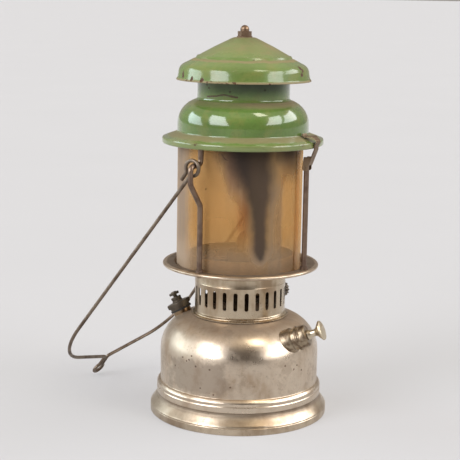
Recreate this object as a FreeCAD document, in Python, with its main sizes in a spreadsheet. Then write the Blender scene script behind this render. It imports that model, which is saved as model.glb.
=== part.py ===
import FreeCAD, Part
import math
import os

import Sketcher

# A paraffin pressure lantern: a nickelled tank with its pump, filler and burner, a slotted draught
# collar, a gallery plate that holds the mica globe, four steel uprights, and an enamelled hood and cap.
# Millimetres and degrees. The origin is on the tank's axis, on the table that the lantern stands on.
SIZES = {
    # parts of a turn
    "full_turn_angle": 360.0,
    "half_turn_angle": 180.0,
    "quarter_turn_angle": 90.0,
    # foot ring, tank bottom and the seam that joins them to the tank
    "foot_radius": 80.8,
    "foot_wall": 1.0,
    "foot_rest_width": 4.0,
    "foot_flare_height": 7.0,
    "foot_flare_radius": 8.0,
    "foot_neck": 2.4,
    "foot_neck_round": 4.0,
    "seam_radius": 75.2,
    "seam_height": 18.0,
    "seam_band": 8.6,
    "seam_round": 3.2,
    "seam_rise": 2.4,
    "seam_fillet": 2.5,
    "bottom_height": 21.8,
    "bottom_wall": 0.8,
    "bottom_rise": 3.0,
    "bottom_dish_radius": 34.0,
    "bottom_dish_slope": 22.0,
    "bottom_round": 9.0,
    "bottom_corner": 1.6,
    # tank
    "tank_radius": 71.8,
    "tank_wall": 0.8,
    "shoulder_height": 58.0,
    "shoulder_radius": 32.8,
    # burner socket and the pipe that lifts the fuel
    "boss_radius": 9.6,
    "boss_flange_radius": 15.0,
    "boss_flange_height": 1.6,
    "boss_height": 7.4,
    "boss_bore": 6.2,
    "riser_radius": 3.0,
    "riser_bore": 2.2,
    "riser_foot_gap": 4.0,
    # filler
    "filler_angle": 166.0,
    "filler_tilt_angle": 27.5,
    "filler_hole": 5.6,
    "filler_neck_radius": 6.8,
    "filler_neck_height": 7.6,
    "filler_flange_radius": 8.6,
    "filler_flange_height": 2.6,
    "filler_sink": 1.6,
    "gasket_radius": 9.9,
    "gasket_height": 1.4,
    "seal_height": 1.2,
    "seal_hole": 2.6,
    "filler_band_radius": 9.4,
    "filler_rim_radius": 11.0,
    "filler_rim_height": 3.9,
    "filler_top_wall": 1.4,
    "filler_thread_gap": 0.06,
    "filler_stem_radius": 4.8,
    "filler_stem_height": 4.9,
    "release_bore": 1.9,
    "release_neck_height": 2.2,
    "release_head_radius": 4.7,
    "release_head_height": 3.0,
    "release_depth": 6.0,
    "shaft_gap": 0.05,
    "seat_gap": 0.05,
    # pump
    "pump_x": 46.6,
    "pump_y": -45.9,
    "pump_z": 77.4,
    "pump_angle": -15.0,
    "pump_rise_angle": 23.5,
    "pump_radius": 8.5,
    "pump_wall": 0.8,
    "pump_length": 92.0,
    "pump_stand": 12.0,
    "pump_flange_radius": 11.2,
    "pump_flange_sink": 12.0,
    "pump_flange_end": 1.8,
    "pump_flange_round": 0.9,
    "pump_band_radius": 9.8,
    "pump_band_height": 3.4,
    "pump_cap_radius": 10.0,
    "pump_cap_end": 15.0,
    "pump_cap_wall": 1.4,
    "pump_cap_groove": 0.9,
    "pump_cap_ring": 1.9,
    "pump_rod_radius": 2.0,
    "pump_stroke": 65.0,
    "pump_cone_radius": 4.6,
    "pump_cone_length": 3.2,
    "knob_radius": 8.8,
    "knob_edge": 1.2,
    "knob_dome": 1.1,
    "knob_place": 27.6,
    "knob_neck_radius": 3.2,
    "knob_neck_length": 4.6,
    "leather_height": 7.0,
    "leather_wall": 1.5,
    "leather_gap": 0.3,
    "pump_nut_width": 6.0,
    "pump_nut_height": 2.6,
    "valve_radius": 4.6,
    "valve_length": 9.0,
    "valve_plug_height": 3.0,
    # draught collar
    "collar_radius": 41.0,
    "collar_wall": 0.7,
    "collar_foot_radius": 44.0,
    "collar_foot_height": 1.2,
    "collar_bead": 2.0,
    "collar_bead_height": 1.9,
    "collar_bead_round": 0.8,
    "collar_flange": 5.0,
    "slot_count": 26,
    "slot_angle": -95.9,
    "slot_width": 3.7,
    "slot_bottom": 101.1,
    "slot_top": 117.5,
    "wheel_slot": 10,
    # gallery plate
    "plate_radius": 70.6,
    "plate_floor": 132.6,
    "plate_wall": 0.9,
    "plate_hole": 40.2,
    "plate_recess_radius": 58.8,
    "plate_ledge": 5.1,
    "plate_round": 1.2,
    "plate_bead": 1.5,
    "plate_bead_drop": 1.3,
    "seat_ring_radius": 47.4,
    "seat_ring_wall": 0.8,
    "seat_ring_height": 13.4,
    "seat_ring_foot": 4.5,
    # globe
    "globe_radius": 56.5,
    "globe_wall": 0.5,
    "globe_height": 115.0,
    "globe_foot_gap": 0.3,
    # uprights and the ring that joins their tops
    "upright_place": 64.3,
    "upright_radius": 2.35,
    "upright_shoulder_radius": 3.6,
    "upright_shoulder_height": 2.6,
    "upright_tail_radius": 1.9,
    "upright_tail": 4.6,
    "upright_nut_width": 5.4,
    "upright_nut_height": 2.4,
    "ring_height": 251.2,
    "ring_wall": 0.9,
    "ring_width": 10.1,
    "ring_neck_wall": 0.5,
    "ring_neck": 5.4,
    "ring_gap": 0.5,
    # ears, bail and hanging loop
    "ear_angle": 56.0,
    "ear_reach": 14.8,
    "ear_start": 197.0,
    "ear_height": 217.0,
    "ear_round": 4.8,
    "pivot_height": 232.5,
    "pivot_reach": 74.7,
    "bail_radius": 1.6,
    "bail_lean_angle": 37.2,
    "bail_ring_radius": 6.65,
    "bail_ring_drop": 2.35,
    "bail_ring_half_gap": 2.3,
    "bail_ring_fillet": 3.5,
    "bail_tail": 7.0,
    "bail_reach": 263.0,
    "bail_corner_reach": 236.0,
    "bail_corner_half_width": 91.0,
    "bail_corner_radius": 50.0,
    "bail_flare_radius": 30.0,
    "hang_loop_radius": 5.5,
    "hang_loop_reach": 285.6,
    "hang_loop_half_gap": 2.1,
    "hang_loop_fillet": 3.0,
    # hood, its cap and what holds the cap
    "hood_wall": 0.8,
    "neck_radius": 41.1,
    "neck_top": 308.0,
    "neck_foot": 285.3,
    "neck_fillet": 2.5,
    "bulge_radius": 58.6,
    "bulge_height": 278.0,
    "bulge_round": 21.5,
    "bulge_foot": 256.2,
    "bulge_fillet": 2.2,
    "flange_radius": 64.5,
    "flange_height": 254.0,
    "flange_round": 3.0,
    "rim_radius": 72.0,
    "rim_top": 251.4,
    "rim_bottom": 246.3,
    "rim_round": 1.6,
    "cap_apex": 339.4,
    "cap_flat": 9.5,
    "cap_flat_round": 8.0,
    "cap_cone_radius": 41.6,
    "cap_cone_foot": 323.2,
    "cap_step": 2.2,
    "cap_shoulder_radius": 56.8,
    "cap_shoulder_height": 314.2,
    "cap_shoulder_round": 8.5,
    "cap_side_radius": 58.7,
    "cap_side_foot": 303.9,
    "cap_lip_radius": 59.8,
    "cap_lip": 301.9,
    "bridge_width": 12.0,
    "bridge_wall": 1.2,
    "bridge_leg": 12.0,
    "bridge_top_half": 8.0,
    "bridge_top": 335.4,
    "bridge_round": 3.0,
    "stud_radius": 2.0,
    "stud_head_radius": 3.6,
    "stud_head_height": 2.4,
    "stud_end_gap": 1.4,
    "washer_radius": 6.9,
    "washer_height": 1.0,
    "acorn_width": 10.6,
    "acorn_hex_height": 4.2,
    "acorn_dome_radius": 3.9,
    "acorn_top": 350.0,
    # clip that holds the hood down, and its pin; its heights are set from the hood's rim
    "clip_angle": -30.0,
    "pin_drop": 17.3,
    "pin_radius": 1.0,
    "pin_end": 0.6,
    "rod_end": 2.4,
    "rod_end_round": 0.8,
    "clip_wall": 1.0,
    "cheek_gap": 0.3,
    "cheek_half": 3.0,
    "cheek_foot": 2.6,
    "cheek_foot_round": 2.4,
    "cheek_top": 9.6,
    "cheek_top_back": 1.2,
    "cheek_top_round": 1.0,
    "spine_place": 3.7,
    "spine_rise": 2.4,
    "clip_rim_gap": 0.5,
    "clip_shoulder": 1.7,
    "clip_bulge": 2.6,
    "clip_bulge_rise": 1.2,
    "clip_crown_rise": 6.0,
    "clip_reach": 9.4,
    "clip_curl": 1.3,
    # burner
    "block_width": 18.0,
    "block_height": 12.0,
    "hex_half_angle": 30.0,
    "vapour_radius": 4.0,
    "vapour_bore": 3.0,
    "vapour_top": 154.0,
    "vapour_bend": 8.5,
    "vapour_round": 7.5,
    "vapour_foot_rise": 17.0,
    "vapour_foot_bend": 6.0,
    "cup_radius": 12.4,
    "cup_wall": 0.8,
    "cup_height": 11.0,
    "cup_base": 137.5,
    "cup_bore": 4.2,
    "mixer_place": 33.4,
    "mixer_round": 15.5,
    "mixer_radius": 11.0,
    "mixer_wall": 0.7,
    "mixer_top": 268.7,
    "mixer_end": 239.5,
    "valve_body_radius": 4.9,
    "valve_body_drop": 0.8,
    "valve_body_height": 25.6,
    "valve_body_bore": 1.5,
    "valve_arm_radius": 3.6,
    "jet_radius": 2.9,
    "jet_height": 6.0,
    "jet_hole": 0.9,
    "needle_radius": 0.6,
    "needle_foot_gap": 2.0,
    "needle_lift": 1.6,
    "needle_proud": 0.4,
    "spindle_rise": 6.0,
    "spindle_radius": 1.6,
    "spindle_inner": 36.4,
    "gland_width": 7.6,
    "gland_height": 1.6,
    "wheel_place": 53.2,
    "wheel_radius": 7.3,
    "wheel_height": 3.2,
    "wheel_hub_radius": 3.4,
    "wheel_hub_height": 3.0,
    "wheel_scallop": 1.1,
    "wheel_scallops": 14,
    "wheel_nut_width": 5.0,
    "wheel_nut_height": 1.8,
    "nozzle_radius": 13.0,
    "nozzle_height": 13.0,
    "nozzle_lip": 9.5,
    "nozzle_bore": 6.5,
    "mantle_radius": 17.0,
    "mantle_wall": 0.6,
    "mantle_drop": 40.0,
    "mantle_collar": 5.0,
    "mantle_hold_share": 0.9,
    "mantle_full_share": 0.4,
    "mantle_full_round_share": 0.3,
    "mantle_tip_share": 0.5,
    "mantle_tip_round_share": 0.2,
    "cut_overrun": 2.0,
    "leather_rest_gap": 2.0,
}

doc = FreeCAD.newDocument("pressure_lantern")
sheet = doc.addObject("Spreadsheet::Sheet", "Sizes")
for row, (alias, value) in enumerate(SIZES.items(), start=1):
    sheet.set(f"A{row}", alias)
    sheet.set(f"B{row}", str(value))
    sheet.setAlias(f"B{row}", alias)
doc.recompute()


class Size:
    """A size with its value and the words that bind it to the sheet."""

    def __init__(self, value, words):
        self.value = float(value)
        self.words = words

    def join(self, other, sign, value, swapped=False):
        mine, theirs = self.words, str(other) if isinstance(other, (int, float)) else other.words
        if swapped:
            mine, theirs = theirs, mine
        return Size(value, f"({mine} {sign} {theirs})")

    def __add__(self, other):
        return self.join(other, "+", self.value + number(other))

    def __radd__(self, other):
        return self if other == 0 else self.join(other, "+", number(other) + self.value, True)

    def __sub__(self, other):
        return self.join(other, "-", self.value - number(other))

    def __rsub__(self, other):
        return self.join(other, "-", number(other) - self.value, True)

    def __mul__(self, other):
        return self.join(other, "*", self.value * number(other))

    __rmul__ = __mul__

    def __truediv__(self, other):
        return self.join(other, "/", self.value / number(other))

    def __neg__(self):
        return Size(-self.value, f"(0 - {self.words})")


class Sheet:
    """The sheet's cells by their names."""

    def __getattr__(self, alias):
        return Size(SIZES[alias], f"Sizes.{alias}")


def number(size):
    return size.value if isinstance(size, Size) else float(size)


def cosine(angle):
    return Size(math.cos(math.radians(angle.value)), f"cos({angle.words} * 1 deg)")


def sine(angle):
    return Size(math.sin(math.radians(angle.value)), f"sin({angle.words} * 1 deg)")


s = Sheet()
UP = FreeCAD.Vector(0, 0, 1)
parts = []


def bind(thing, prop, size):
    """Ties a property to the sheet, or to zero."""
    if isinstance(size, Size):
        thing.setExpression(prop, size.words)


def keep(thing, label, placement=None):
    """Names a finished sub-part and puts it in its place."""
    thing.Label = label
    if placement is not None:
        thing.Placement = placement
    parts.append(thing)
    return thing


def plane(body, role):
    return next(item for item in body.Origin.OriginFeatures if item.Role == role)


def new_sketch(body, name, role, offset=None):
    """A sketch on one of a body's own planes, moved out along that plane's normal where asked."""
    sketch = body.newObject("Sketcher::SketchObject", name)
    sketch.AttachmentSupport = (plane(body, role), [""])
    sketch.MapMode = "FlatFace"
    if isinstance(offset, Size):
        sketch.setExpression("AttachmentOffset.Base.z", offset.words)
    return sketch


def pin_point(sketch, geometry, end, x, y):
    """Fixes one point of a sketch by its two distances from the origin."""
    for kind, size in (("DistanceX", x), ("DistanceY", y)):
        index = sketch.addConstraint(Sketcher.Constraint(kind, -1, 1, geometry, end, number(size)))
        bind(sketch, f"Constraints[{index}]", size)


def corner_arc(before, corner, after, radius):
    """Where a round of the given radius leaves the two sides of a corner, with its centre."""
    to_before = (before - corner).normalize()
    to_after = (after - corner).normalize()
    half = to_before.getAngle(to_after) / 2
    reach = radius / math.tan(half)
    centre = corner + (to_before + to_after).normalize() * (radius / math.sin(half))
    return corner + to_before * reach, centre, corner + to_after * reach


def draw(sketch, corners, closed=True):
    """Straight sides through the corners, each (x, y) or (x, y, round), with tangent arcs at the rounds."""
    points = [FreeCAD.Vector(number(c[0]), number(c[1]), 0) for c in corners]
    count = len(points)
    starts, ends, rounds = list(points), list(points), {}
    for i in range(count):
        if len(corners[i]) == 3 and (closed or 0 < i < count - 1):
            radius = number(corners[i][2])
            ends[i], centre, starts[i] = corner_arc(points[i - 1], points[i], points[(i + 1) % count], radius)
            rounds[i] = (centre, radius)
    sides = range(count if closed else count - 1)
    lines = {}
    for i in sides:
        line = Part.LineSegment(starts[i], ends[(i + 1) % count])
        lines[i] = sketch.addGeometry(line, False)
    for i in range(count):
        before, after = lines.get(i - 1 if i else count - 1), lines.get(i)
        if i in rounds:
            centre, radius = rounds[i]
            turns_left = (points[i] - starts[i - 1]).cross(starts[i] - points[i]).z > 0
            first, last = (1, 2) if turns_left else (2, 1)
            begin, finish = (ends[i], starts[i]) if turns_left else (starts[i], ends[i])
            start_angle = math.atan2(begin.y - centre.y, begin.x - centre.x)
            end_angle = math.atan2(finish.y - centre.y, finish.x - centre.x)
            if end_angle < start_angle:
                end_angle += 2 * math.pi
            circle = Part.Circle(centre, UP, radius)
            arc = sketch.addGeometry(Part.ArcOfCircle(circle, start_angle, end_angle), False)
            sketch.addConstraint(Sketcher.Constraint("Tangent", before, 2, arc, first))
            sketch.addConstraint(Sketcher.Constraint("Tangent", arc, last, after, 1))
            index = sketch.addConstraint(Sketcher.Constraint("Radius", arc, radius))
            bind(sketch, f"Constraints[{index}]", corners[i][2])
            mark = sketch.addGeometry(Part.Point(points[i]), True)
            pin_point(sketch, mark, 1, corners[i][0], corners[i][1])
            sketch.addConstraint(Sketcher.Constraint("PointOnObject", mark, 1, before))
            sketch.addConstraint(Sketcher.Constraint("PointOnObject", mark, 1, after))
        elif after is not None:
            if before is not None and (closed or i):
                sketch.addConstraint(Sketcher.Constraint("Coincident", before, 2, after, 1))
            pin_point(sketch, after, 1, corners[i][0], corners[i][1])
        else:
            pin_point(sketch, before, 2, corners[i][0], corners[i][1])


def skin(corners, wall):
    """Closes an open outline into a wall of even thickness, on the right of its run."""
    points = [FreeCAD.Vector(number(c[0]), number(c[1]), 0) for c in corners]
    inner = []
    for i, corner in enumerate(corners):
        before = (points[i] - points[i - 1]).normalize() if i else (points[1] - points[0]).normalize()
        after = (points[i + 1] - points[i]).normalize() if i < len(points) - 1 else before
        right_before = FreeCAD.Vector(before.y, -before.x, 0)
        right_after = FreeCAD.Vector(after.y, -after.x, 0)
        share = (right_before + right_after) / (1 + right_before.dot(right_after))
        moved = [corner[0] + share.x * wall, corner[1] + share.y * wall]
        if len(corner) == 3:
            turns_right = before.cross(after).z < 0
            moved.append(corner[2] - wall if turns_right else corner[2] + wall)
        inner.append(tuple(moved))
    return list(corners) + inner[::-1]


def spun(label, corners, placement=None):
    """A piece turned or spun about its own Z axis from an outline of (radius, height) corners."""
    body = doc.addObject("PartDesign::Body", f"{label}_body")
    sketch = new_sketch(body, f"{label}_outline", "XZ_Plane")
    draw(sketch, corners)
    turned = body.newObject("PartDesign::Revolution", f"{label}_turned")
    turned.Profile = (sketch, [""])
    turned.ReferenceAxis = (sketch, ["V_Axis"])
    bind(turned, "Angle", s.full_turn_angle)
    body.Tip = turned
    return keep(body, label, placement) if placement is not False else body


def bar(name, radius, height, placement=None):
    """A round bar on the XY plane."""
    piece = doc.addObject("Part::Cylinder", name)
    bind(piece, "Radius", radius)
    bind(piece, "Height", height)
    if placement is not None:
        piece.Placement = placement
    return piece


def hexagon(name, width, height, placement=None):
    """A six-sided bar of a width across flats."""
    piece = doc.addObject("Part::Prism", name)
    piece.Polygon = 6
    bind(piece, "Circumradius", width / math.sqrt(3))
    bind(piece, "Height", height)
    if placement is not None:
        piece.Placement = placement
    return piece


def less(name, base, tool):
    """One piece with another cut away."""
    result = doc.addObject("Part::Cut", name)
    result.Base = base
    result.Tool = tool
    return result


def joined(name, pieces):
    """Touching pieces made one."""
    result = doc.addObject("Part::MultiFuse", name)
    result.Shapes = pieces
    result.Refine = True
    return result


def bent_wire(label, corners, radius, placement=None, bore=None, role="XZ_Plane"):
    """A round wire or pipe whose middle line has tangent bends, from a bottom end that runs straight up."""
    body = doc.addObject("PartDesign::Body", f"{label}_body")
    path = new_sketch(body, f"{label}_path", role)
    draw(path, corners, closed=False)
    section = new_sketch(body, f"{label}_section", "XY_Plane", corners[0][1])
    for size in (radius, bore):
        if size is None:
            continue
        ring = Part.Circle(FreeCAD.Vector(number(corners[0][0]), 0, 0), UP, number(size))
        circle = section.addGeometry(ring, False)
        index = section.addConstraint(Sketcher.Constraint("Radius", circle, number(size)))
        bind(section, f"Constraints[{index}]", size)
        pin_point(section, circle, 3, corners[0][0], 0)
    pipe = body.newObject("PartDesign::AdditivePipe", f"{label}_pipe")
    pipe.Profile = (section, [""])
    pipe.Spine = (path, [""])
    body.Tip = pipe
    return keep(body, label, placement) if placement is not False else body


def turned_to(angle, x=0, y=0, z=0):
    """A place turned about the lantern's axis, then moved by distances in that turned frame."""
    turn = FreeCAD.Rotation(UP, number(angle))
    return FreeCAD.Placement(turn.multVec(FreeCAD.Vector(number(x), number(y), number(z))), turn)


def tilted(angle, tilt, point):
    """A place whose Z axis leans out by a tilt towards a direction about the lantern's axis."""
    lean = FreeCAD.Rotation(UP, number(angle)) * FreeCAD.Rotation(FreeCAD.Vector(0, 1, 0), number(tilt))
    return FreeCAD.Placement(point, lean)


def along(place, height):
    """The same place moved out along its own Z axis."""
    moved = place.multVec(FreeCAD.Vector(0, 0, number(height)))
    return FreeCAD.Placement(moved, place.Rotation)


# Foot ring, tank bottom and tank
crown = s.shoulder_height + s.shoulder_radius
seam_inner = s.seam_radius - s.tank_wall
foot_outline = [
    (seam_inner, s.seam_height),
    (seam_inner, s.seam_height - s.foot_neck, s.foot_neck_round),
    (s.foot_radius, s.foot_flare_height, s.foot_flare_radius),
    (s.foot_radius, 0),
    (s.foot_radius - s.foot_rest_width, 0),
]
spun("foot_ring", skin(foot_outline, s.foot_wall))

bottom_top = s.bottom_height + s.bottom_wall
bottom_outline = [
    (0, bottom_top + s.bottom_rise),
    (s.bottom_dish_radius, bottom_top + s.bottom_rise, s.bottom_round),
    (s.bottom_dish_radius + s.bottom_dish_slope, bottom_top, s.bottom_round),
    (seam_inner, bottom_top, s.bottom_corner),
    (seam_inner, s.seam_height),
]
spun("tank_bottom", skin(bottom_outline, s.bottom_wall))

seam_top = s.seam_height + s.seam_band
tank_outline = [
    (s.boss_radius, crown),
    (s.tank_radius, crown, s.shoulder_radius),
    (s.tank_radius, seam_top + s.seam_rise, s.seam_fillet),
    (s.seam_radius, seam_top, s.seam_round),
    (s.seam_radius, s.seam_height),
]
tank_shape = spun("tank_spinning", skin(tank_outline, s.tank_wall), False)

pump_axis = s.quarter_turn_angle - s.pump_rise_angle
pump_mouth = FreeCAD.Vector(number(s.pump_x), number(s.pump_y), number(s.pump_z))
pump_place = tilted(s.pump_angle, pump_axis, pump_mouth)
filler_run = s.tank_radius - s.shoulder_radius + s.shoulder_radius * sine(s.filler_tilt_angle)
filler_height = s.shoulder_height + s.shoulder_radius * cosine(s.filler_tilt_angle)
filler_mouth = turned_to(s.filler_angle, filler_run, 0, filler_height).Base
filler_place = tilted(s.filler_angle, s.filler_tilt_angle, filler_mouth)

tank_form = spun("tank_form", [(0, crown)] + tank_outline[1:] + [(0, s.seam_height)], False)
pump_drill = bar("pump_drill", s.pump_radius + s.seat_gap, s.pump_length,
                 along(pump_place, -s.pump_length / 2))
tank_bored = less("tank_bored", tank_shape, pump_drill)
filler_drill_length = s.filler_flange_radius + s.filler_flange_radius
filler_drill = bar("filler_drill", s.filler_neck_radius + s.seat_gap, filler_drill_length,
                   along(filler_place, -s.filler_flange_radius))
keep(less("tank_cut", tank_bored, filler_drill), "tank_shell")

# Burner socket in the tank's top, and the riser that stands in the fuel
boss_top = crown + s.boss_flange_height + s.boss_height
spun("centre_boss", [
    (s.boss_bore, crown - s.tank_wall),
    (s.boss_radius, crown - s.tank_wall),
    (s.boss_radius, crown),
    (s.boss_flange_radius, crown),
    (s.boss_flange_radius, crown + s.boss_flange_height),
    (s.boss_radius, crown + s.boss_flange_height),
    (s.boss_radius, boss_top),
    (s.boss_bore, boss_top),
])
riser_foot = bottom_top + s.bottom_rise + s.riser_foot_gap
riser_top = boss_top + s.riser_radius
spun("fuel_riser", [
    (s.riser_bore, riser_foot),
    (s.riser_radius, riser_foot),
    (s.riser_radius, riser_top),
    (s.riser_bore, riser_top),
])

# Filler: a flanged neck soldered into the tank, with a gasket round it
gasket_base = s.filler_flange_height
gasket_top = gasket_base + s.gasket_height
filler_neck = spun("filler_neck", [
    (s.filler_hole, -s.filler_sink),
    (s.filler_neck_radius, -s.filler_sink),
    (s.filler_neck_radius, s.filler_neck_height),
    (s.filler_hole, s.filler_neck_height),
], False)
filler_neck.Placement = filler_place
filler_saddle = spun("filler_saddle", [
    (s.filler_neck_radius, -s.filler_sink),
    (s.filler_flange_radius, -s.filler_sink),
    (s.filler_flange_radius, gasket_base),
    (s.filler_neck_radius, gasket_base),
], False)
filler_saddle.Placement = filler_place
filler_flange = less("filler_flange", filler_saddle, tank_form)
keep(joined("filler_boss_whole", [filler_neck, filler_flange]), "filler_boss")
spun("filler_gasket", [
    (s.filler_neck_radius, gasket_base),
    (s.gasket_radius, gasket_base),
    (s.gasket_radius, gasket_top),
    (s.filler_neck_radius, gasket_top),
], filler_place)
seal_top = s.filler_neck_height + s.seal_height
cap_bore = s.filler_neck_radius + s.filler_thread_gap
spun("filler_seal", [
    (s.seal_hole, s.filler_neck_height),
    (s.filler_neck_radius, s.filler_neck_height),
    (s.filler_neck_radius, seal_top),
    (s.seal_hole, seal_top),
], filler_place)
rim_base = seal_top + s.filler_top_wall - s.filler_rim_height
rim_top = rim_base + s.filler_rim_height
stem_top = rim_top + s.filler_stem_height
spun("filler_cap", [
    (cap_bore, gasket_top),
    (s.filler_band_radius, gasket_top),
    (s.filler_band_radius, rim_base),
    (s.filler_rim_radius, rim_base),
    (s.filler_rim_radius, rim_top),
    (s.filler_stem_radius, rim_top),
    (s.filler_stem_radius, stem_top),
    (s.release_bore + s.shaft_gap, stem_top),
    (s.release_bore + s.shaft_gap, seal_top),
    (cap_bore, seal_top),
], filler_place)
head_base = stem_top + s.release_neck_height
spun("release_screw", [
    (0, stem_top - s.release_depth),
    (s.release_bore, stem_top - s.release_depth),
    (s.release_bore, head_base),
    (s.release_head_radius, head_base),
    (s.release_head_radius, head_base + s.release_head_height),
    (0, head_base + s.release_head_height),
], filler_place)

# Pump barrel with its valve, flange and cap
barrel_inner = s.pump_radius - s.pump_wall
barrel_base = s.pump_stand - s.pump_length
spun("pump_tube", [
    (barrel_inner, barrel_base),
    (s.pump_radius, barrel_base),
    (s.pump_radius, s.pump_stand),
    (barrel_inner, s.pump_stand),
], pump_place)
spun("non_return_valve", [
    (0, barrel_base - s.valve_length),
    (s.valve_radius, barrel_base - s.valve_length),
    (s.valve_radius, barrel_base - s.valve_plug_height),
    (s.pump_radius, barrel_base - s.valve_plug_height),
    (s.pump_radius, barrel_base),
    (0, barrel_base),
], pump_place)
flange_bore = s.pump_radius + s.seat_gap
band_end = s.pump_flange_end + s.pump_band_height
pump_saddle = spun("pump_saddle", [
    (flange_bore, -s.pump_flange_sink),
    (s.pump_flange_radius, -s.pump_flange_sink),
    (s.pump_flange_radius, s.pump_flange_end, s.pump_flange_round),
    (s.pump_band_radius, s.pump_flange_end),
    (s.pump_band_radius, band_end),
    (flange_bore, band_end),
], False)
pump_saddle.Placement = pump_place
keep(less("pump_saddle_cut", pump_saddle, tank_form), "pump_flange")
cap_start = band_end + s.seat_gap
cap_thread = s.pump_radius + s.filler_thread_gap
ring_two = cap_start + s.pump_cap_ring + s.pump_cap_ring
spun("pump_cap", [
    (cap_thread, cap_start),
    (s.pump_cap_radius + s.pump_cap_groove, cap_start),
    (s.pump_cap_radius + s.pump_cap_groove, cap_start + s.pump_cap_ring),
    (s.pump_cap_radius, cap_start + s.pump_cap_ring),
    (s.pump_cap_radius, ring_two),
    (s.pump_cap_radius + s.pump_cap_groove / 2, ring_two + s.pump_cap_groove / 2),
    (s.pump_cap_radius, ring_two + s.pump_cap_groove),
    (s.pump_cap_radius, s.pump_cap_end - s.pump_cap_ring),
    (s.pump_cap_radius - s.pump_cap_groove, s.pump_cap_end),
    (s.pump_rod_radius + s.shaft_gap, s.pump_cap_end),
    (s.pump_rod_radius + s.shaft_gap, s.pump_cap_end - s.pump_cap_wall),
    (cap_thread, s.pump_cap_end - s.pump_cap_wall),
], pump_place)

# Pump plunger: rod, knob, leather cup between washer and nut
leather_base = s.pump_cap_end - s.pump_cap_wall - s.pump_stroke - s.leather_height - s.leather_rest_gap
leather_top = leather_base + s.leather_height
rod_top = s.knob_place
keep(bar("rod", s.pump_rod_radius, rod_top - leather_base + s.pump_nut_height,
         along(pump_place, leather_base - s.pump_nut_height)), "pump_rod")
knob_foot = s.knob_place - s.knob_neck_length
spun("pump_knob", [
    (s.pump_rod_radius, s.pump_cap_end + s.shaft_gap),
    (s.pump_cone_radius, s.pump_cap_end + s.shaft_gap),
    (s.knob_neck_radius, s.pump_cap_end + s.pump_cone_length, s.pump_cone_length),
    (s.knob_neck_radius, knob_foot, s.pump_cone_length),
    (s.knob_radius, s.knob_place),
    (s.knob_radius, s.knob_place + s.knob_edge),
    (s.knob_neck_radius, s.knob_place + s.knob_edge + s.knob_dome),
    (0, s.knob_place + s.knob_edge + s.knob_dome),
    (0, rod_top),
    (s.pump_rod_radius, rod_top),
], pump_place)
leather_radius = barrel_inner - s.leather_gap
spun("pump_leather", [
    (s.pump_rod_radius, leather_top - s.leather_wall),
    (leather_radius - s.leather_wall, leather_top - s.leather_wall),
    (leather_radius - s.leather_wall, leather_base),
    (leather_radius, leather_base),
    (leather_radius, leather_top, s.leather_wall),
    (s.pump_rod_radius, leather_top),
], pump_place)
washer_low = leather_top - s.leather_wall - s.leather_wall
spun("pump_washer", [
    (s.pump_rod_radius, washer_low),
    (s.valve_radius, washer_low),
    (s.valve_radius, leather_top - s.leather_wall),
    (s.pump_rod_radius, leather_top - s.leather_wall),
], pump_place)
nut_blank = hexagon("pump_nut_blank", s.pump_nut_width, s.pump_nut_height,
                    along(pump_place, washer_low - s.pump_nut_height))
nut_drill = bar("pump_nut_drill", s.pump_rod_radius, s.pump_nut_height + s.cut_overrun * 2,
                along(pump_place, washer_low - s.pump_nut_height - s.cut_overrun))
keep(less("pump_nut_cut", nut_blank, nut_drill), "pump_nut")

# Draught collar with its ring of slots
collar_base = crown
plate_under = s.plate_floor
collar_inner = s.collar_radius - s.collar_wall
collar_lip = plate_under - s.collar_wall
bead_base = collar_base + s.collar_foot_height
collar_body = spun("collar", [
    (collar_inner, collar_base),
    (s.collar_foot_radius, collar_base),
    (s.collar_foot_radius, bead_base),
    (s.collar_radius + s.collar_bead / 2, bead_base),
    (s.collar_radius + s.collar_bead, bead_base + s.collar_bead_height / 2, s.collar_bead_round),
    (s.collar_radius, bead_base + s.collar_bead_height),
    (s.collar_radius, collar_lip),
    (s.collar_radius + s.collar_flange, collar_lip),
    (s.collar_radius + s.collar_flange, plate_under),
    (collar_inner, plate_under),
], False)
slot_sketch = new_sketch(collar_body, "slot_outline", "YZ_Plane")
slot_half = s.slot_width / 2
slot_ends = [(s.slot_bottom + slot_half, math.pi, 2 * math.pi), (s.slot_top - slot_half, 0, math.pi)]
for height, start, end in slot_ends:
    centre = FreeCAD.Vector(0, number(height), 0)
    circle = Part.Circle(centre, UP, number(slot_half))
    arc = slot_sketch.addGeometry(Part.ArcOfCircle(circle, start, end), False)
    pin_point(slot_sketch, arc, 3, 0, height)
    index = slot_sketch.addConstraint(Sketcher.Constraint("Radius", arc, number(slot_half)))
    bind(slot_sketch, f"Constraints[{index}]", slot_half)
for side, low_end, high_end in ((-1, 1, 2), (1, 2, 1)):
    low = FreeCAD.Vector(side * number(slot_half), number(s.slot_bottom + slot_half), 0)
    high = FreeCAD.Vector(side * number(slot_half), number(s.slot_top - slot_half), 0)
    line = slot_sketch.addGeometry(Part.LineSegment(low, high), False)
    slot_sketch.addConstraint(Sketcher.Constraint("Tangent", line, 1, 0, low_end))
    slot_sketch.addConstraint(Sketcher.Constraint("Tangent", line, 2, 1, high_end))
doc.recompute()
solid_collar = collar_body.Shape.Volume
slot = collar_body.newObject("PartDesign::Pocket", "slot")
slot.Profile = (slot_sketch, [""])
slot.Type = 0
bind(slot, "Length", s.collar_radius + s.cut_overrun)
slot.Reversed = True
doc.recompute()
slots = collar_body.newObject("PartDesign::PolarPattern", "slots")
slots.Originals = [slot]
slots.Axis = (plane(collar_body, "Z_Axis"), [""])
bind(slots, "Angle", s.full_turn_angle)
bind(slots, "Occurrences", s.slot_count)
collar_body.Tip = slots
doc.recompute()
slot_volume = number(s.slot_count) * number(s.collar_wall) * number(s.slot_width)
if solid_collar - collar_body.Shape.Volume < slot_volume:
    raise ValueError("the slots don't cut the collar")
keep(collar_body, "draught_collar", turned_to(s.slot_angle))

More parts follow.
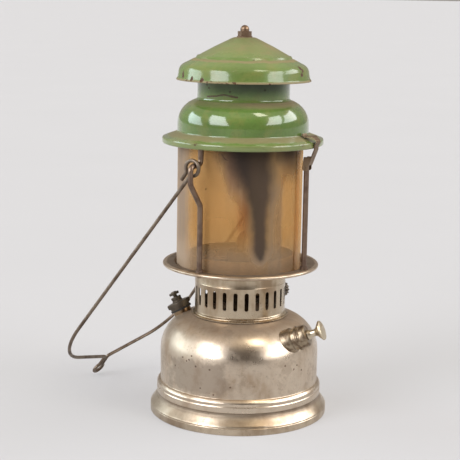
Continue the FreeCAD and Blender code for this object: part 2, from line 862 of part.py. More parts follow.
# Gallery plate: a recess for the globe, a raised ledge for the uprights and a rolled edge
plate_top = s.plate_floor + s.plate_wall
ledge_top = plate_top + s.plate_ledge
bead_place = s.plate_radius - s.plate_bead
plate_skin = skin([
    (s.plate_hole, plate_top),
    (s.plate_recess_radius, plate_top, s.plate_round),
    (s.plate_recess_radius, ledge_top, s.plate_round + s.plate_wall),
    (bead_place, ledge_top),
], s.plate_wall)
plate_disc = spun("plate_disc", plate_skin, False)
plate_bead = doc.addObject("Part::Torus", "plate_edge")
bind(plate_bead, "Radius1", bead_place)
bind(plate_bead, "Radius2", s.plate_bead)
plate_bead.setExpression("Placement.Base.z", (ledge_top - s.plate_bead_drop).words)
plate_whole = joined("plate_whole", [plate_disc, plate_bead])
upright_turns = [s.ear_angle, s.ear_angle + s.half_turn_angle, s.clip_angle, s.clip_angle + s.half_turn_angle]
tail_holes = []
for i, turn in enumerate(upright_turns):
    tail_holes.append(bar(f"tail_hole_{i}", s.upright_tail_radius, s.plate_wall + s.cut_overrun * 2,
                          turned_to(turn, s.upright_place, 0, ledge_top - s.plate_wall - s.cut_overrun)))
keep(less("plate_drilled", plate_whole, joined("tail_holes", tail_holes)), "gallery_plate")
seat_top = plate_top + s.seat_ring_height
spun("globe_seat_ring", [
    (s.seat_ring_radius - s.seat_ring_wall, plate_top),
    (s.seat_ring_radius + s.seat_ring_foot, plate_top),
    (s.seat_ring_radius + s.seat_ring_foot, plate_top + s.seat_ring_wall),
    (s.seat_ring_radius, plate_top + s.seat_ring_wall),
    (s.seat_ring_radius, seat_top),
    (s.seat_ring_radius - s.seat_ring_wall, seat_top),
])

# Globe: a tube of mica sheet
globe_base = plate_top + s.globe_foot_gap
globe_inner = s.globe_radius - s.globe_wall
spun("globe", [
    (globe_inner, globe_base),
    (s.globe_radius, globe_base),
    (s.globe_radius, globe_base + s.globe_height),
    (globe_inner, globe_base + s.globe_height),
])

# Uprights: two with ears for the bail, one with the clip's pin and one plain
ring_under = s.ring_height
ring_top = ring_under + s.ring_wall


def upright(label, angle, rod, hole=None):
    """One upright: a rod on a shouldered foot whose tail goes through the plate."""
    foot = spun(f"{label}_foot", [
        (0, ledge_top - s.upright_tail),
        (s.upright_tail_radius, ledge_top - s.upright_tail),
        (s.upright_tail_radius, ledge_top),
        (s.upright_shoulder_radius, ledge_top),
        (s.upright_shoulder_radius, ledge_top + s.upright_shoulder_height),
        (0, ledge_top + s.upright_shoulder_height),
    ], False)
    foot.setExpression("Placement.Base.x", s.upright_place.words)
    whole = joined(f"{label}_whole", [rod, foot])
    keep(whole if hole is None else less(f"{label}_drilled", whole, hole), label, turned_to(angle))


rod_base = ledge_top + s.upright_shoulder_height / 2
ear_out = s.upright_place + s.ear_reach
ear_corners = [
    (s.upright_place, rod_base),
    (s.upright_place, s.ear_start, s.ear_round),
    (ear_out, s.ear_height, s.ear_round),
    (ear_out, s.pivot_height, s.ear_round),
    (s.upright_place, s.pivot_height, s.ear_round),
    (s.upright_place, ring_under),
]
plain_corners = [(s.upright_place, rod_base), (s.upright_place, ring_under)]
for label, angle, corners in (
    ("ear_upright_back", s.ear_angle, ear_corners),
    ("ear_upright_front", s.ear_angle + s.half_turn_angle, ear_corners),
    ("back_upright", s.clip_angle + s.half_turn_angle, plain_corners),
):
    upright(label, angle, bent_wire(f"{label}_rod", corners, s.upright_radius, False))

# The clip's upright ends below the ring, with a hole across it for the clip's pin
pin_height = s.rim_bottom - s.pin_drop
rod_end = pin_height + s.rod_end
clip_half_width = s.upright_radius + s.cheek_gap + s.clip_wall
clip_width = clip_half_width + clip_half_width
pin_half_length = clip_half_width + s.pin_end
pin_length = pin_half_length + pin_half_length
lie_across = FreeCAD.Rotation(FreeCAD.Vector(1, 0, 0), -number(s.quarter_turn_angle))
pin_base = FreeCAD.Vector(number(s.upright_place), -number(pin_half_length), number(pin_height))
pin_place = FreeCAD.Placement(pin_base, lie_across)
clip_rod = spun("clip_rod", [
    (0, rod_base),
    (s.upright_radius, rod_base),
    (s.upright_radius, rod_end, s.rod_end_round),
    (0, rod_end),
], False)
clip_rod.setExpression("Placement.Base.x", s.upright_place.words)
upright("clip_upright", s.clip_angle, clip_rod, bar("pin_hole", s.pin_radius, pin_length, pin_place))
keep(bar("pin", s.pin_radius, pin_length, turned_to(s.clip_angle) * pin_place), "clip_pin")

nuts = []
for i, turn in enumerate(upright_turns):
    place = turned_to(turn, s.upright_place, 0, ledge_top - s.plate_wall - s.upright_nut_height)
    blank = hexagon(f"upright_nut_blank_{i}", s.upright_nut_width, s.upright_nut_height, place)
    drill = bar(f"upright_nut_drill_{i}", s.upright_tail_radius, s.upright_nut_height + s.cut_overrun * 2,
                along(place, -s.cut_overrun))
    nuts.append(less(f"upright_nut_{i}", blank, drill))
nut_group = doc.addObject("Part::Compound", "nut_group")
nut_group.Links = nuts
keep(nut_group, "upright_nuts")

# Ring on the uprights' tops: a flat flange with a neck that the hood fits over
ring_inner = s.globe_radius + s.ring_gap
spun("top_ring", [
    (ring_inner, ring_under),
    (ring_inner + s.ring_width, ring_under),
    (ring_inner + s.ring_width, ring_top),
    (ring_inner + s.ring_neck_wall, ring_top),
    (ring_inner + s.ring_neck_wall, ring_top + s.ring_neck),
    (ring_inner, ring_top + s.ring_neck),
])

# Hood and cap
spun("hood_body", skin([
    (s.rim_radius, s.rim_bottom),
    (s.rim_radius, s.rim_top, s.rim_round),
    (s.flange_radius, s.flange_height, s.flange_round),
    (s.bulge_radius, s.bulge_foot, s.bulge_fillet),
    (s.bulge_radius, s.bulge_height, s.bulge_round),
    (s.neck_radius, s.neck_foot, s.neck_fillet),
    (s.neck_radius, s.neck_top),
][::-1], s.hood_wall))
spun("hood_cap", skin([
    (s.stud_radius, s.cap_apex),
    (s.cap_flat, s.cap_apex, s.cap_flat_round),
    (s.cap_cone_radius, s.cap_cone_foot),
    (s.cap_cone_radius + s.cap_step, s.cap_cone_foot - s.cap_step),
    (s.cap_shoulder_radius, s.cap_shoulder_height, s.cap_shoulder_round),
    (s.cap_side_radius, s.cap_side_foot),
    (s.cap_lip_radius, s.cap_lip),
], s.hood_wall))

# Bridge riveted in the neck, with the stud that carries the cap
bridge_wall_reach = s.neck_radius - s.hood_wall
bridge_body = doc.addObject("PartDesign::Body", "bridge_body")
bridge_sketch = new_sketch(bridge_body, "bridge_outline", "XZ_Plane")
left = [
    (-bridge_wall_reach, s.neck_top - s.bridge_leg),
    (-bridge_wall_reach, s.neck_top, s.bridge_round),
    (-s.bridge_top_half, s.bridge_top, s.bridge_round),
]
right = [(-corner[0],) + corner[1:] for corner in left[::-1]]
draw(bridge_sketch, skin(left + right, s.bridge_wall))
bridge_pad = bridge_body.newObject("PartDesign::Pad", "bridge_strip")
bridge_pad.Profile = (bridge_sketch, [""])
bind(bridge_pad, "Length", s.bridge_width)
bridge_pad.Midplane = True
bridge_body.Tip = bridge_pad
bridge_drill = bar("bridge_drill", s.stud_radius, s.bridge_wall + s.cut_overrun * 2)
bridge_drill.setExpression("Placement.Base.z", (s.bridge_top - s.bridge_wall - s.cut_overrun).words)
bridge_trim_outer = bar("bridge_trim_outer", s.rim_radius, s.bridge_top)
bridge_trim_inner = bar("bridge_trim_inner", bridge_wall_reach, s.bridge_top)
bridge_trim = less("bridge_trim", bridge_trim_outer, bridge_trim_inner)
bridge_round_off = less("bridge_round_off", bridge_body, bridge_trim)
keep(less("bridge_drilled", bridge_round_off, bridge_drill), "cap_bridge")
stud_base = s.bridge_top - s.bridge_wall - s.stud_head_height
stud_top = s.acorn_top - s.stud_end_gap - s.acorn_dome_radius / 2
spun("cap_stud", [
    (0, stud_base),
    (s.stud_head_radius, stud_base),
    (s.stud_head_radius, s.bridge_top - s.bridge_wall),
    (s.stud_radius, s.bridge_top - s.bridge_wall),
    (s.stud_radius, stud_top),
    (0, stud_top),
])
spun("cap_washer", [
    (s.stud_radius, s.cap_apex),
    (s.washer_radius, s.cap_apex),
    (s.washer_radius, s.cap_apex + s.washer_height),
    (s.stud_radius, s.cap_apex + s.washer_height),
])
acorn_base = s.cap_apex + s.washer_height
acorn_hex = hexagon("acorn_hex", s.acorn_width, s.acorn_hex_height)
acorn_hex.setExpression("Placement.Base.z", acorn_base.words)
dome_foot = s.acorn_top - s.acorn_dome_radius
acorn_neck = bar("acorn_neck", s.acorn_dome_radius, dome_foot - acorn_base)
acorn_neck.setExpression("Placement.Base.z", acorn_base.words)
acorn_dome = doc.addObject("Part::Sphere", "acorn_dome")
bind(acorn_dome, "Radius", s.acorn_dome_radius)
acorn_dome.setExpression("Placement.Base.z", dome_foot.words)
acorn_blank = joined("acorn_blank", [acorn_hex, acorn_neck, acorn_dome])
acorn_drill = bar("acorn_drill", s.stud_radius, stud_top - acorn_base)
acorn_drill.setExpression("Placement.Base.z", acorn_base.words)
keep(less("acorn_drilled", acorn_blank, acorn_drill), "acorn_nut")

# Hood clip: two cheeks astride the upright's end, on the pin, and a spine that joins them and runs up
# as a strip over the hood's rim, curled at its end
clip_out = s.rim_radius + s.clip_rim_gap + s.clip_wall
clip_shoulder = s.rim_bottom + s.clip_shoulder
clip_crown = s.rim_top + s.clip_crown_rise
clip_tip = s.rim_radius - s.clip_reach
spine_foot = s.upright_place + s.spine_place
spine_base = pin_height + s.spine_rise
spine_top = clip_shoulder - s.clip_bulge
strip = [
    (spine_foot, spine_base),
    (clip_out, spine_top, s.clip_bulge),
    (clip_out, clip_shoulder),
    (clip_out + s.clip_bulge, s.rim_top + s.clip_bulge_rise, s.clip_bulge),
    (clip_out - s.clip_bulge, clip_crown, s.clip_bulge),
    (clip_tip, clip_crown - s.clip_wall, s.clip_curl),
    (clip_tip - s.clip_curl, clip_crown + s.clip_curl),
]
cheek_top = pin_height + s.cheek_top
spine_share = (cheek_top - spine_base) / (spine_top - spine_base)
cheek_out = spine_foot - s.clip_wall / 2
cheek = [
    (s.upright_place - s.cheek_half, pin_height - s.cheek_foot, s.cheek_foot_round),
    (s.upright_place + s.cheek_half, pin_height - s.cheek_foot, s.cheek_foot_round),
    (cheek_out, spine_base + s.clip_wall / 2),
    (cheek_out + (clip_out - spine_foot) * spine_share, cheek_top),
    (s.upright_place - s.cheek_top_back, cheek_top, s.cheek_top_round),
]


def clip_plate(name, corners):
    """A plate of the clip's full width, from an outline of (distance out, height) corners."""
    body = doc.addObject("PartDesign::Body", f"{name}_body")
    outline = new_sketch(body, f"{name}_outline", "XZ_Plane")
    draw(outline, corners)
    pad = body.newObject("PartDesign::Pad", f"{name}_plate")
    pad.Profile = (outline, [""])
    bind(pad, "Length", clip_width)
    pad.Midplane = True
    body.Tip = pad
    return body


channel = doc.addObject("Part::Box", "clip_channel")
channel_half = s.upright_radius + s.cheek_gap
bind(channel, "Length", s.rim_radius)
bind(channel, "Width", channel_half + channel_half)
bind(channel, "Height", s.rim_top)
channel.setExpression("Placement.Base.y", (-channel_half).words)
cheeks = less("clip_cheeks", clip_plate("cheek", cheek), channel)
clip_whole = joined("clip_whole", [cheeks, clip_plate("strip", skin(strip, -s.clip_wall))])
pin_seat = bar("pin_seat", s.pin_radius + s.shaft_gap, pin_length, pin_place)
keep(less("clip_drilled", clip_whole, pin_seat), "hood_clip", turned_to(s.clip_angle))

# Burner: fuel block, vaporiser, spirit cup, valve body, jet, mixing tube, nozzle and mantle
block_turn = s.slot_angle + s.wheel_slot * s.full_turn_angle / s.slot_count
block_place = turned_to(block_turn + s.hex_half_angle, 0, 0, boss_top)
block_blank = hexagon("block_blank", s.block_width, s.block_height, block_place)
block_stem = bar("block_stem", s.boss_bore, s.boss_height, along(block_place, -s.boss_height))
block_drill = bar("block_drill", s.riser_radius, s.boss_height + s.riser_radius,
                  along(block_place, -s.boss_height))
keep(less("block_drilled", joined("block_whole", [block_blank, block_stem]), block_drill), "fuel_block")
block_top = boss_top + s.block_height
vapour_run = s.vapour_bend * 2
valve_base = boss_top - s.valve_body_drop
valve_top = valve_base + s.valve_body_height
spindle_height = valve_base + s.spindle_rise
needle_base = spindle_height + s.spindle_radius + s.needle_foot_gap
vapour_foot = valve_base + s.vapour_foot_rise
arm_height = valve_base + s.valve_body_radius
vapour_pipe = bent_wire("vapour_pipe", [
    (0, block_top),
    (0, s.vapour_top + s.vapour_bend, s.vapour_round),
    (vapour_run, s.vapour_top + s.vapour_bend, s.vapour_round),
    (vapour_run, vapour_foot, s.vapour_foot_bend),
    (s.mixer_place, vapour_foot),
], s.vapour_radius, False, s.vapour_bore)
vapour_saddle = bar("vapour_saddle", s.valve_body_radius, valve_top - valve_base)
vapour_saddle.setExpression("Placement.Base.x", s.mixer_place.words)
vapour_saddle.setExpression("Placement.Base.z", valve_base.words)
keep(less("vapour_cut", vapour_pipe, vapour_saddle), "vaporiser_tube", turned_to(block_turn))
spun("spirit_cup", [
    (s.cup_bore, s.cup_base),
    (s.cup_radius, s.cup_base, s.cup_wall),
    (s.cup_radius, s.cup_base + s.cup_height),
    (s.cup_radius - s.cup_wall, s.cup_base + s.cup_height),
    (s.cup_radius - s.cup_wall, s.cup_base + s.cup_wall),
    (s.cup_bore, s.cup_base + s.cup_wall),
])
valve_place = turned_to(block_turn, s.mixer_place, 0, valve_base)
valve_column = bar("valve_column", s.valve_body_radius, valve_top - valve_base, valve_place)
lie_out = FreeCAD.Rotation(UP, number(block_turn)) * FreeCAD.Rotation(
    FreeCAD.Vector(0, 1, 0), number(s.quarter_turn_angle))
arm_start = s.block_width / 2
arm_place = FreeCAD.Placement(turned_to(block_turn, arm_start, 0, arm_height).Base, lie_out)
valve_arm = bar("valve_arm", s.valve_arm_radius, s.mixer_place - arm_start, arm_place)
valve_bore = bar("valve_bore", s.valve_body_bore, valve_top - needle_base + s.cut_overrun * 2,
                 turned_to(block_turn, s.mixer_place, 0, needle_base - s.cut_overrun))
spindle_place = FreeCAD.Placement(turned_to(block_turn, s.spindle_inner, 0, spindle_height).Base, lie_out)
spindle_hole = bar("spindle_hole", s.spindle_radius + s.shaft_gap, s.valve_body_radius + s.cut_overrun,
                   spindle_place)
valve_solid = joined("valve_solid", [valve_column, valve_arm])
valve_holes = joined("valve_holes", [valve_bore, spindle_hole])
keep(less("valve_drilled", valve_solid, valve_holes), "valve_body")
jet_tip = valve_top + s.jet_height
spun("jet_nipple", [
    (s.jet_hole, valve_top),
    (s.jet_radius, valve_top),
    (s.jet_radius, jet_tip - s.jet_radius / 2),
    (s.jet_radius / 2, jet_tip),
    (s.jet_hole, jet_tip),
], turned_to(block_turn, s.mixer_place))
needle_tip = jet_tip + s.needle_proud - s.needle_lift
keep(bar("needle", s.needle_radius, needle_tip - needle_base,
         turned_to(block_turn, s.mixer_place, 0, needle_base)), "cleaning_needle")
gland_start = s.mixer_place + s.valve_body_radius
bent_wire("mixing_tube", [
    (s.mixer_place, plate_top),
    (s.mixer_place, s.mixer_top, s.mixer_round),
    (0, s.mixer_top, s.mixer_round),
    (0, s.mixer_end),
], s.mixer_radius, turned_to(block_turn), s.mixer_radius - s.mixer_wall)
nozzle_base = s.mixer_end - s.nozzle_height
spun("burner_nozzle", [
    (s.nozzle_bore, nozzle_base),
    (s.nozzle_lip, nozzle_base),
    (s.nozzle_radius, s.mixer_end - s.nozzle_height / 2),
    (s.nozzle_radius, s.mixer_end),
    (s.nozzle_bore, s.mixer_end),
])
mantle_top = nozzle_base + s.mantle_collar
mantle_hold = s.nozzle_lip + (s.nozzle_radius - s.nozzle_lip) * s.mantle_hold_share
mantle_full = mantle_top - s.mantle_drop * s.mantle_full_share
mantle_tip = mantle_top - s.mantle_drop
spun("mantle", skin([
    (mantle_hold + s.mantle_wall, mantle_top),
    (s.mantle_radius, mantle_full, s.mantle_drop * s.mantle_full_round_share),
    (s.mantle_radius * s.mantle_tip_share, mantle_tip, s.mantle_drop * s.mantle_tip_round_share),
    (0, mantle_tip),
], s.mantle_wall))

# Control wheel on its spindle, in a gland on the valve body
gland_place = FreeCAD.Placement(turned_to(block_turn, gland_start, 0, spindle_height).Base, lie_out)
gland_blank = hexagon("gland_blank", s.gland_width, s.gland_height, gland_place)
gland_drill = bar("gland_drill", s.spindle_radius + s.shaft_gap, s.gland_height + s.cut_overrun * 2,
                  along(gland_place, -s.cut_overrun))
keep(less("gland_cut", gland_blank, gland_drill), "spindle_gland")
wheel_face = s.wheel_place + s.wheel_height
spindle_end = wheel_face + s.wheel_nut_height
keep(bar("spindle", s.spindle_radius, spindle_end - s.spindle_inner, spindle_place), "control_spindle")
wheel_base = FreeCAD.Placement(turned_to(block_turn, s.wheel_place, 0, spindle_height).Base, lie_out)
wheel_disc = spun("wheel_turning", [
    (s.spindle_radius, -s.wheel_hub_height),
    (s.wheel_hub_radius, -s.wheel_hub_height),
    (s.wheel_hub_radius, 0),
    (s.wheel_radius, 0),
    (s.wheel_radius, s.wheel_height),
    (s.spindle_radius, s.wheel_height),
], False)
scallop_sketch = new_sketch(wheel_disc, "scallop_outline", "XY_Plane")
scallop_circle = scallop_sketch.addGeometry(
    Part.Circle(FreeCAD.Vector(number(s.wheel_radius), 0, 0), UP, number(s.wheel_scallop)), False)
pin_point(scallop_sketch, scallop_circle, 3, s.wheel_radius, 0)
index = scallop_sketch.addConstraint(Sketcher.Constraint("Radius", scallop_circle, number(s.wheel_scallop)))
bind(scallop_sketch, f"Constraints[{index}]", s.wheel_scallop)
doc.recompute()
wheel_solid = wheel_disc.Shape.Volume
scallop = wheel_disc.newObject("PartDesign::Pocket", "scallop")
scallop.Profile = (scallop_sketch, [""])
bind(scallop, "Length", s.wheel_height)
scallop.Reversed = True
doc.recompute()
scallops = wheel_disc.newObject("PartDesign::PolarPattern", "scallops")
scallops.Originals = [scallop]
scallops.Axis = (plane(wheel_disc, "Z_Axis"), [""])
bind(scallops, "Angle", s.full_turn_angle)
bind(scallops, "Occurrences", s.wheel_scallops)
wheel_disc.Tip = scallops
doc.recompute()
if wheel_disc.Shape.Volume >= wheel_solid:
    raise ValueError("the scallops don't cut the wheel")
keep(wheel_disc, "control_wheel", wheel_base)
wheel_nut_place = along(wheel_base, s.wheel_height)
wheel_nut_blank = hexagon("wheel_nut_blank", s.wheel_nut_width, s.wheel_nut_height, wheel_nut_place)
wheel_nut_drill = bar("wheel_nut_drill", s.spindle_radius, s.wheel_nut_height + s.cut_overrun * 2,
                      along(wheel_nut_place, -s.cut_overrun))
keep(less("wheel_nut_cut", wheel_nut_blank, wheel_nut_drill), "wheel_nut")

# Bail: one steel wire with a ring round each ear and a hanging loop at its middle.
# Its plane hangs from the pivots; across runs along the pivots' line, down along the arms and
# side square to both.
bail_turn = FreeCAD.Rotation(UP, number(s.ear_angle))
across = bail_turn.multVec(FreeCAD.Vector(1, 0, 0))
lean = math.radians(number(s.bail_lean_angle))
outward = bail_turn.multVec(FreeCAD.Vector(0, 1, 0))
down = outward * math.sin(lean) - UP * math.cos(lean)
side = outward * math.cos(lean) + UP * math.sin(lean)
pivot_middle = UP * number(s.pivot_height)


def bail_point(u, v, w=0):
    """A point of the bail's wire, by its distances across, down the arms and to the side."""
    return pivot_middle + across * number(u) + down * number(v) + side * number(w)


def fillet(before, corner, after, radius):
    """The ends and the middle of a round at a corner in space."""
    first, centre, last = corner_arc(before, corner, after, number(radius))
    middle = centre + (corner - centre).normalize() * number(radius)
    return first, middle, last


def necked_loop(radius, round_radius, half_gap, drop, place):
    """A loop with a narrow neck, as points on a line's own flat: out along one leg, round, and back."""
    offset = number(half_gap) + number(round_radius)
    reach = number(radius) + number(round_radius)
    height = number(drop) + math.sqrt(reach ** 2 - offset ** 2)
    share = number(radius) / reach
    leave = (offset * share, number(drop) + (height - number(drop)) * share)
    round_middle = (offset - number(round_radius) * math.cos(turn_half(offset, reach)),
                    height - number(round_radius) * math.sin(turn_half(offset, reach)))
    top = (0, number(drop) - number(radius))
    points = [(number(half_gap), height), round_middle, leave, top]
    other = [(-x, y) for x, y in points[:3]][::-1]
    return [place(x, y) for x, y in points + other]


def turn_half(offset, reach):
    """Half the angle that a round at a loop's neck turns through."""
    return math.acos(offset / reach) / 2


def loop_edges(points):
    """The two rounds and the big arc of a necked loop."""
    return [
        Part.Arc(points[0], points[1], points[2]).toShape(),
        Part.Arc(points[2], points[3], points[4]).toShape(),
        Part.Arc(points[4], points[5], points[6]).toShape(),
    ]


def straight(start, end):
    return Part.LineSegment(start, end).toShape()


pivot_reach = number(s.pivot_reach)
half_gap = number(s.bail_ring_half_gap)
edges = []
arm_ends = []
for hand in (-1, 1):
    ring = necked_loop(s.bail_ring_radius, s.bail_ring_fillet, s.bail_ring_half_gap, s.bail_ring_drop,
                       lambda x, y: bail_point(hand * pivot_reach, y, x))
    neck = ring[0] - bail_point(hand * pivot_reach, 0, half_gap)
    neck_depth = neck.Length
    tail_end = bail_point(hand * pivot_reach, neck_depth + number(s.bail_tail), half_gap)
    flare_corner = bail_point(hand * pivot_reach, neck_depth + number(s.bail_ring_fillet), -half_gap)
    corner = bail_point(hand * number(s.bail_corner_half_width), s.bail_corner_reach, -half_gap)
    middle = bail_point(hand * number(s.hang_loop_half_gap), s.bail_reach, -half_gap)
    flare_first, flare_middle, flare_last = fillet(ring[6], flare_corner, corner, s.bail_flare_radius)
    bend_first, bend_middle, bend_last = fillet(flare_corner, corner, middle, s.bail_corner_radius)
    run = [straight(tail_end, ring[0])] + loop_edges(ring) + [
        straight(ring[6], flare_first),
        Part.Arc(flare_first, flare_middle, flare_last).toShape(),
        straight(flare_last, bend_first),
        Part.Arc(bend_first, bend_middle, bend_last).toShape(),
    ]
    arm_ends.append(bend_last)
    edges.append(run)

loop_drop = number(s.hang_loop_reach) - number(s.hang_loop_radius)
hang = necked_loop(s.hang_loop_radius, s.hang_loop_fillet, s.hang_loop_half_gap, 0,
                   lambda x, y: bail_point(-x, loop_drop - y, -half_gap))
knees = []
for hand, end, tip in ((-1, arm_ends[0], hang[0]), (1, arm_ends[1], hang[6])):
    corner = bail_point(hand * number(s.hang_loop_half_gap), s.bail_reach, -half_gap)
    first, middle, last = fillet(end, corner, tip, s.hang_loop_fillet)
    knees.append([straight(end, first), Part.Arc(first, middle, last).toShape(), straight(last, tip)])
wire = Part.Wire(Part.__sortEdges__(edges[0] + knees[0] + loop_edges(hang) + knees[1] + edges[1]))
wire_tip = edges[0][0].Vertexes[0].Point
section = Part.Wire(Part.Circle(wire_tip, down, number(s.bail_radius)).toShape())
sweep = Part.BRepOffsetAPI.MakePipeShell(wire)
sweep.setTransitionMode(0)
sweep.add(section)
sweep.build()
sweep.makeSolid()
bail = doc.addObject("Part::Feature", "bail_wire")
bail.Shape = sweep.shape()
expected = math.pi * number(s.bail_radius) ** 2 * wire.Length
print(f"bail wire {wire.Length:.1f} mm long, volume {bail.Shape.Volume:.1f}, by length {expected:.1f}")
keep(bail, "bail")

doc.recompute()
os.makedirs("parts", exist_ok=True)
failed = [thing.Label for thing in doc.Objects if {"Invalid", "Error"} & set(thing.State)]
failed += [thing.Label for thing in parts if thing.Shape.isNull() or not thing.Shape.isValid()]
failed += [thing.Label for thing in parts if not thing.Shape.Solids]
if failed:
    raise ValueError(f"not sound: {failed}")
for thing in parts:
    thing.Shape.exportStep(f"parts/{thing.Label}.step")
print(f"{len(parts)} sub-parts")
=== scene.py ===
import math

import bpy
from mathutils import Matrix, Vector, noise


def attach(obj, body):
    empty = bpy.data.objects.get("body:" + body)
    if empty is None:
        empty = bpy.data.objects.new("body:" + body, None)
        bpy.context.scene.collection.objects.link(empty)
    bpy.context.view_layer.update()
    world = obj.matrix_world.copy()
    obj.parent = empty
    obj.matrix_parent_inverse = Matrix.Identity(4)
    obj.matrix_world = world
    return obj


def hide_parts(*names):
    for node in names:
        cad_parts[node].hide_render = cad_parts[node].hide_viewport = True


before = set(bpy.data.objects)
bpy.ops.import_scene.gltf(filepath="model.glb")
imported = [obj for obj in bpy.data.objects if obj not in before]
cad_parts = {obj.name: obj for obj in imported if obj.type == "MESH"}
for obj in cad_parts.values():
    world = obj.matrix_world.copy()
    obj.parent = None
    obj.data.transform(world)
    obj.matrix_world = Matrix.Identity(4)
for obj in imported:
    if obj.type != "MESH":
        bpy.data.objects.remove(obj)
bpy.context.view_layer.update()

# The photograph's viewpoint: a little above the hood, straight in front, from about a metre away.
# The lens is a long one, so the lantern's circles stay almost level.
camera_place = (-0.01005, -1.1405, 0.3765)
camera_tilt = 79.58
camera_roll = 0.97
camera_data = bpy.data.cameras.new("viewpoint")
camera_data.sensor_width = 36
camera_data.lens = 100.41
camera = bpy.data.objects.new("viewpoint", camera_data)
bpy.context.scene.collection.objects.link(camera)
bpy.context.scene.camera = camera
tilt = Matrix.Rotation(math.radians(camera_tilt), 4, "X")
roll = Matrix.Rotation(math.radians(camera_roll), 4, "Z")
camera.matrix_world = Matrix.Translation(camera_place) @ tilt @ roll


# The floor is a pale matt sheet that runs on to the horizon.
# Its finish is the first that is made, so the tools for finishes are defined here.
MM = 0.001


class Value:
    """A number that varies over a surface, ready for ordinary sums."""

    def __init__(self, finish, socket):
        self.finish = finish
        self.socket = socket

    def maths(self, operation, *terms):
        return self.finish.node("ShaderNodeMath", {"operation": operation}, dict(enumerate(terms)))

    def __add__(self, other):
        return self.maths("ADD", self, other)

    def __radd__(self, other):
        return self.maths("ADD", other, self)

    def __sub__(self, other):
        return self.maths("SUBTRACT", self, other)

    def __rsub__(self, other):
        return self.maths("SUBTRACT", other, self)

    def __mul__(self, other):
        return self.maths("MULTIPLY", self, other)

    def __rmul__(self, other):
        return self.maths("MULTIPLY", other, self)

    def __truediv__(self, other):
        return self.maths("DIVIDE", self, other)

    def __abs__(self):
        return self.maths("ABSOLUTE", self)

    def __pow__(self, other):
        return self.maths("POWER", self, other)

    def most(self, other):
        return self.maths("MAXIMUM", self, other)

    def least(self, other):
        return self.maths("MINIMUM", self, other)

    def rise(self, low, high):
        """0 below the first number, 1 above the second and a smooth change between them."""
        settings = {"interpolation_type": "SMOOTHSTEP"}
        inputs = {"Value": self, "From Min": low, "From Max": high}
        return self.finish.node("ShaderNodeMapRange", settings, inputs)

    def band(self, middle, half_width, soft):
        """1 within a distance of a middle value, falling to 0 over the soft edge."""
        return 1 - abs(self - middle).rise(half_width, half_width + soft)


class Finish:
    """The nodes of a material, or of the sky."""

    def __init__(self, owner, coordinates="Object"):
        self.owner = owner
        owner.use_nodes = True
        self.tree = owner.node_tree
        self.tree.nodes.clear()
        self.place = self.node("ShaderNodeTexCoord", output=coordinates)

    def node(self, kind, settings=None, inputs=None, output=0):
        made = self.tree.nodes.new(kind)
        for key, setting in (settings or {}).items():
            setattr(made, key, setting)
        for key, given in (inputs or {}).items():
            if isinstance(given, Value):
                self.tree.links.new(given.socket, made.inputs[key])
            else:
                made.inputs[key].default_value = given
        return Value(self, made.outputs[output])

    def axes(self):
        """The distances along X, Y and Z, in metres."""
        split = self.node("ShaderNodeSeparateXYZ", inputs={0: self.place})
        return [Value(self, socket) for socket in split.socket.node.outputs]

    def height(self):
        """The height above the floor, in millimetres."""
        return self.axes()[2] / MM

    def turn(self):
        """The angle about the lantern's axis in degrees, and the distance from it in metres."""
        x, y, _ = self.axes()
        return x.maths("ARCTAN2", y, x) * math.degrees(1), (x * x + y * y) ** 0.5

    def grain(self, size, detail=4.0, stretch=(1, 1, 1), rough=0.55, shift=0.0):
        """Cloudy noise between 0 and 1, with lumps of about the given size in metres."""
        inputs = {0: self.place, 1: (shift, shift, shift), 3: stretch}
        move = self.node("ShaderNodeMapping", inputs=inputs)
        inputs = {"Vector": move, "Scale": 1 / size, "Detail": detail, "Roughness": rough}
        return self.node("ShaderNodeTexNoise", inputs=inputs)

    def specks(self, size, spread, shift=0.0):
        """Small round specks: 1 at their middles and 0 away from them."""
        move = self.node("ShaderNodeMapping", inputs={0: self.place, 1: (shift, shift, shift)})
        spots = self.node("ShaderNodeTexVoronoi", inputs={"Vector": move, "Scale": 1 / spread})
        return 1 - (spots * spread).rise(size * 0.3, size)

    def mix(self, mask, first, second):
        """The first colour where a mask is 0, and the second where it is 1."""
        return self.node("ShaderNodeMix", {"data_type": "RGBA"}, {0: mask, 6: first, 7: second}, output=2)

    def bump(self, height, depth, strength=1.0, under=None):
        """Relief of a given depth in metres, over another where one lies under it."""
        inputs = {"Height": height, "Distance": depth, "Strength": strength}
        if under is not None:
            inputs["Normal"] = under
        return self.node("ShaderNodeBump", inputs=inputs)

    def end(self, kind, surface):
        """Joins the last shader to the output and gives back what the nodes belong to."""
        output = self.tree.nodes.new(kind)
        self.tree.links.new(surface.socket, output.inputs["Surface"])
        return self.owner

    def surface(self, **inputs):
        """The surface shader, whose sockets are named with underscores."""
        named = {key.replace("_", " "): given for key, given in inputs.items()}
        return self.node("ShaderNodeBsdfPrincipled", inputs=named)

    def shade(self, **inputs):
        """Ends a material with one surface shader."""
        return self.end("ShaderNodeOutputMaterial", self.surface(**inputs))


def new_finish(name):
    """The empty node tree of a new material."""
    return Finish(bpy.data.materials.new(name))


def paint(red, green, blue):
    """A colour as a screen shows it, from 0 to 255, undone by the screen's own curve for a shader."""
    linear = []
    for part in (red, green, blue):
        share = part / 255
        linear.append(share / 12.92 if share <= 0.04045 else ((share + 0.055) / 1.055) ** 2.4)
    return linear + [1]


def cleared():
    """Leaves nothing selected, so that the next operator acts on its own object."""
    if bpy.context.mode != "OBJECT":
        bpy.ops.object.mode_set(mode="OBJECT")
    bpy.ops.object.select_all(action="DESELECT")


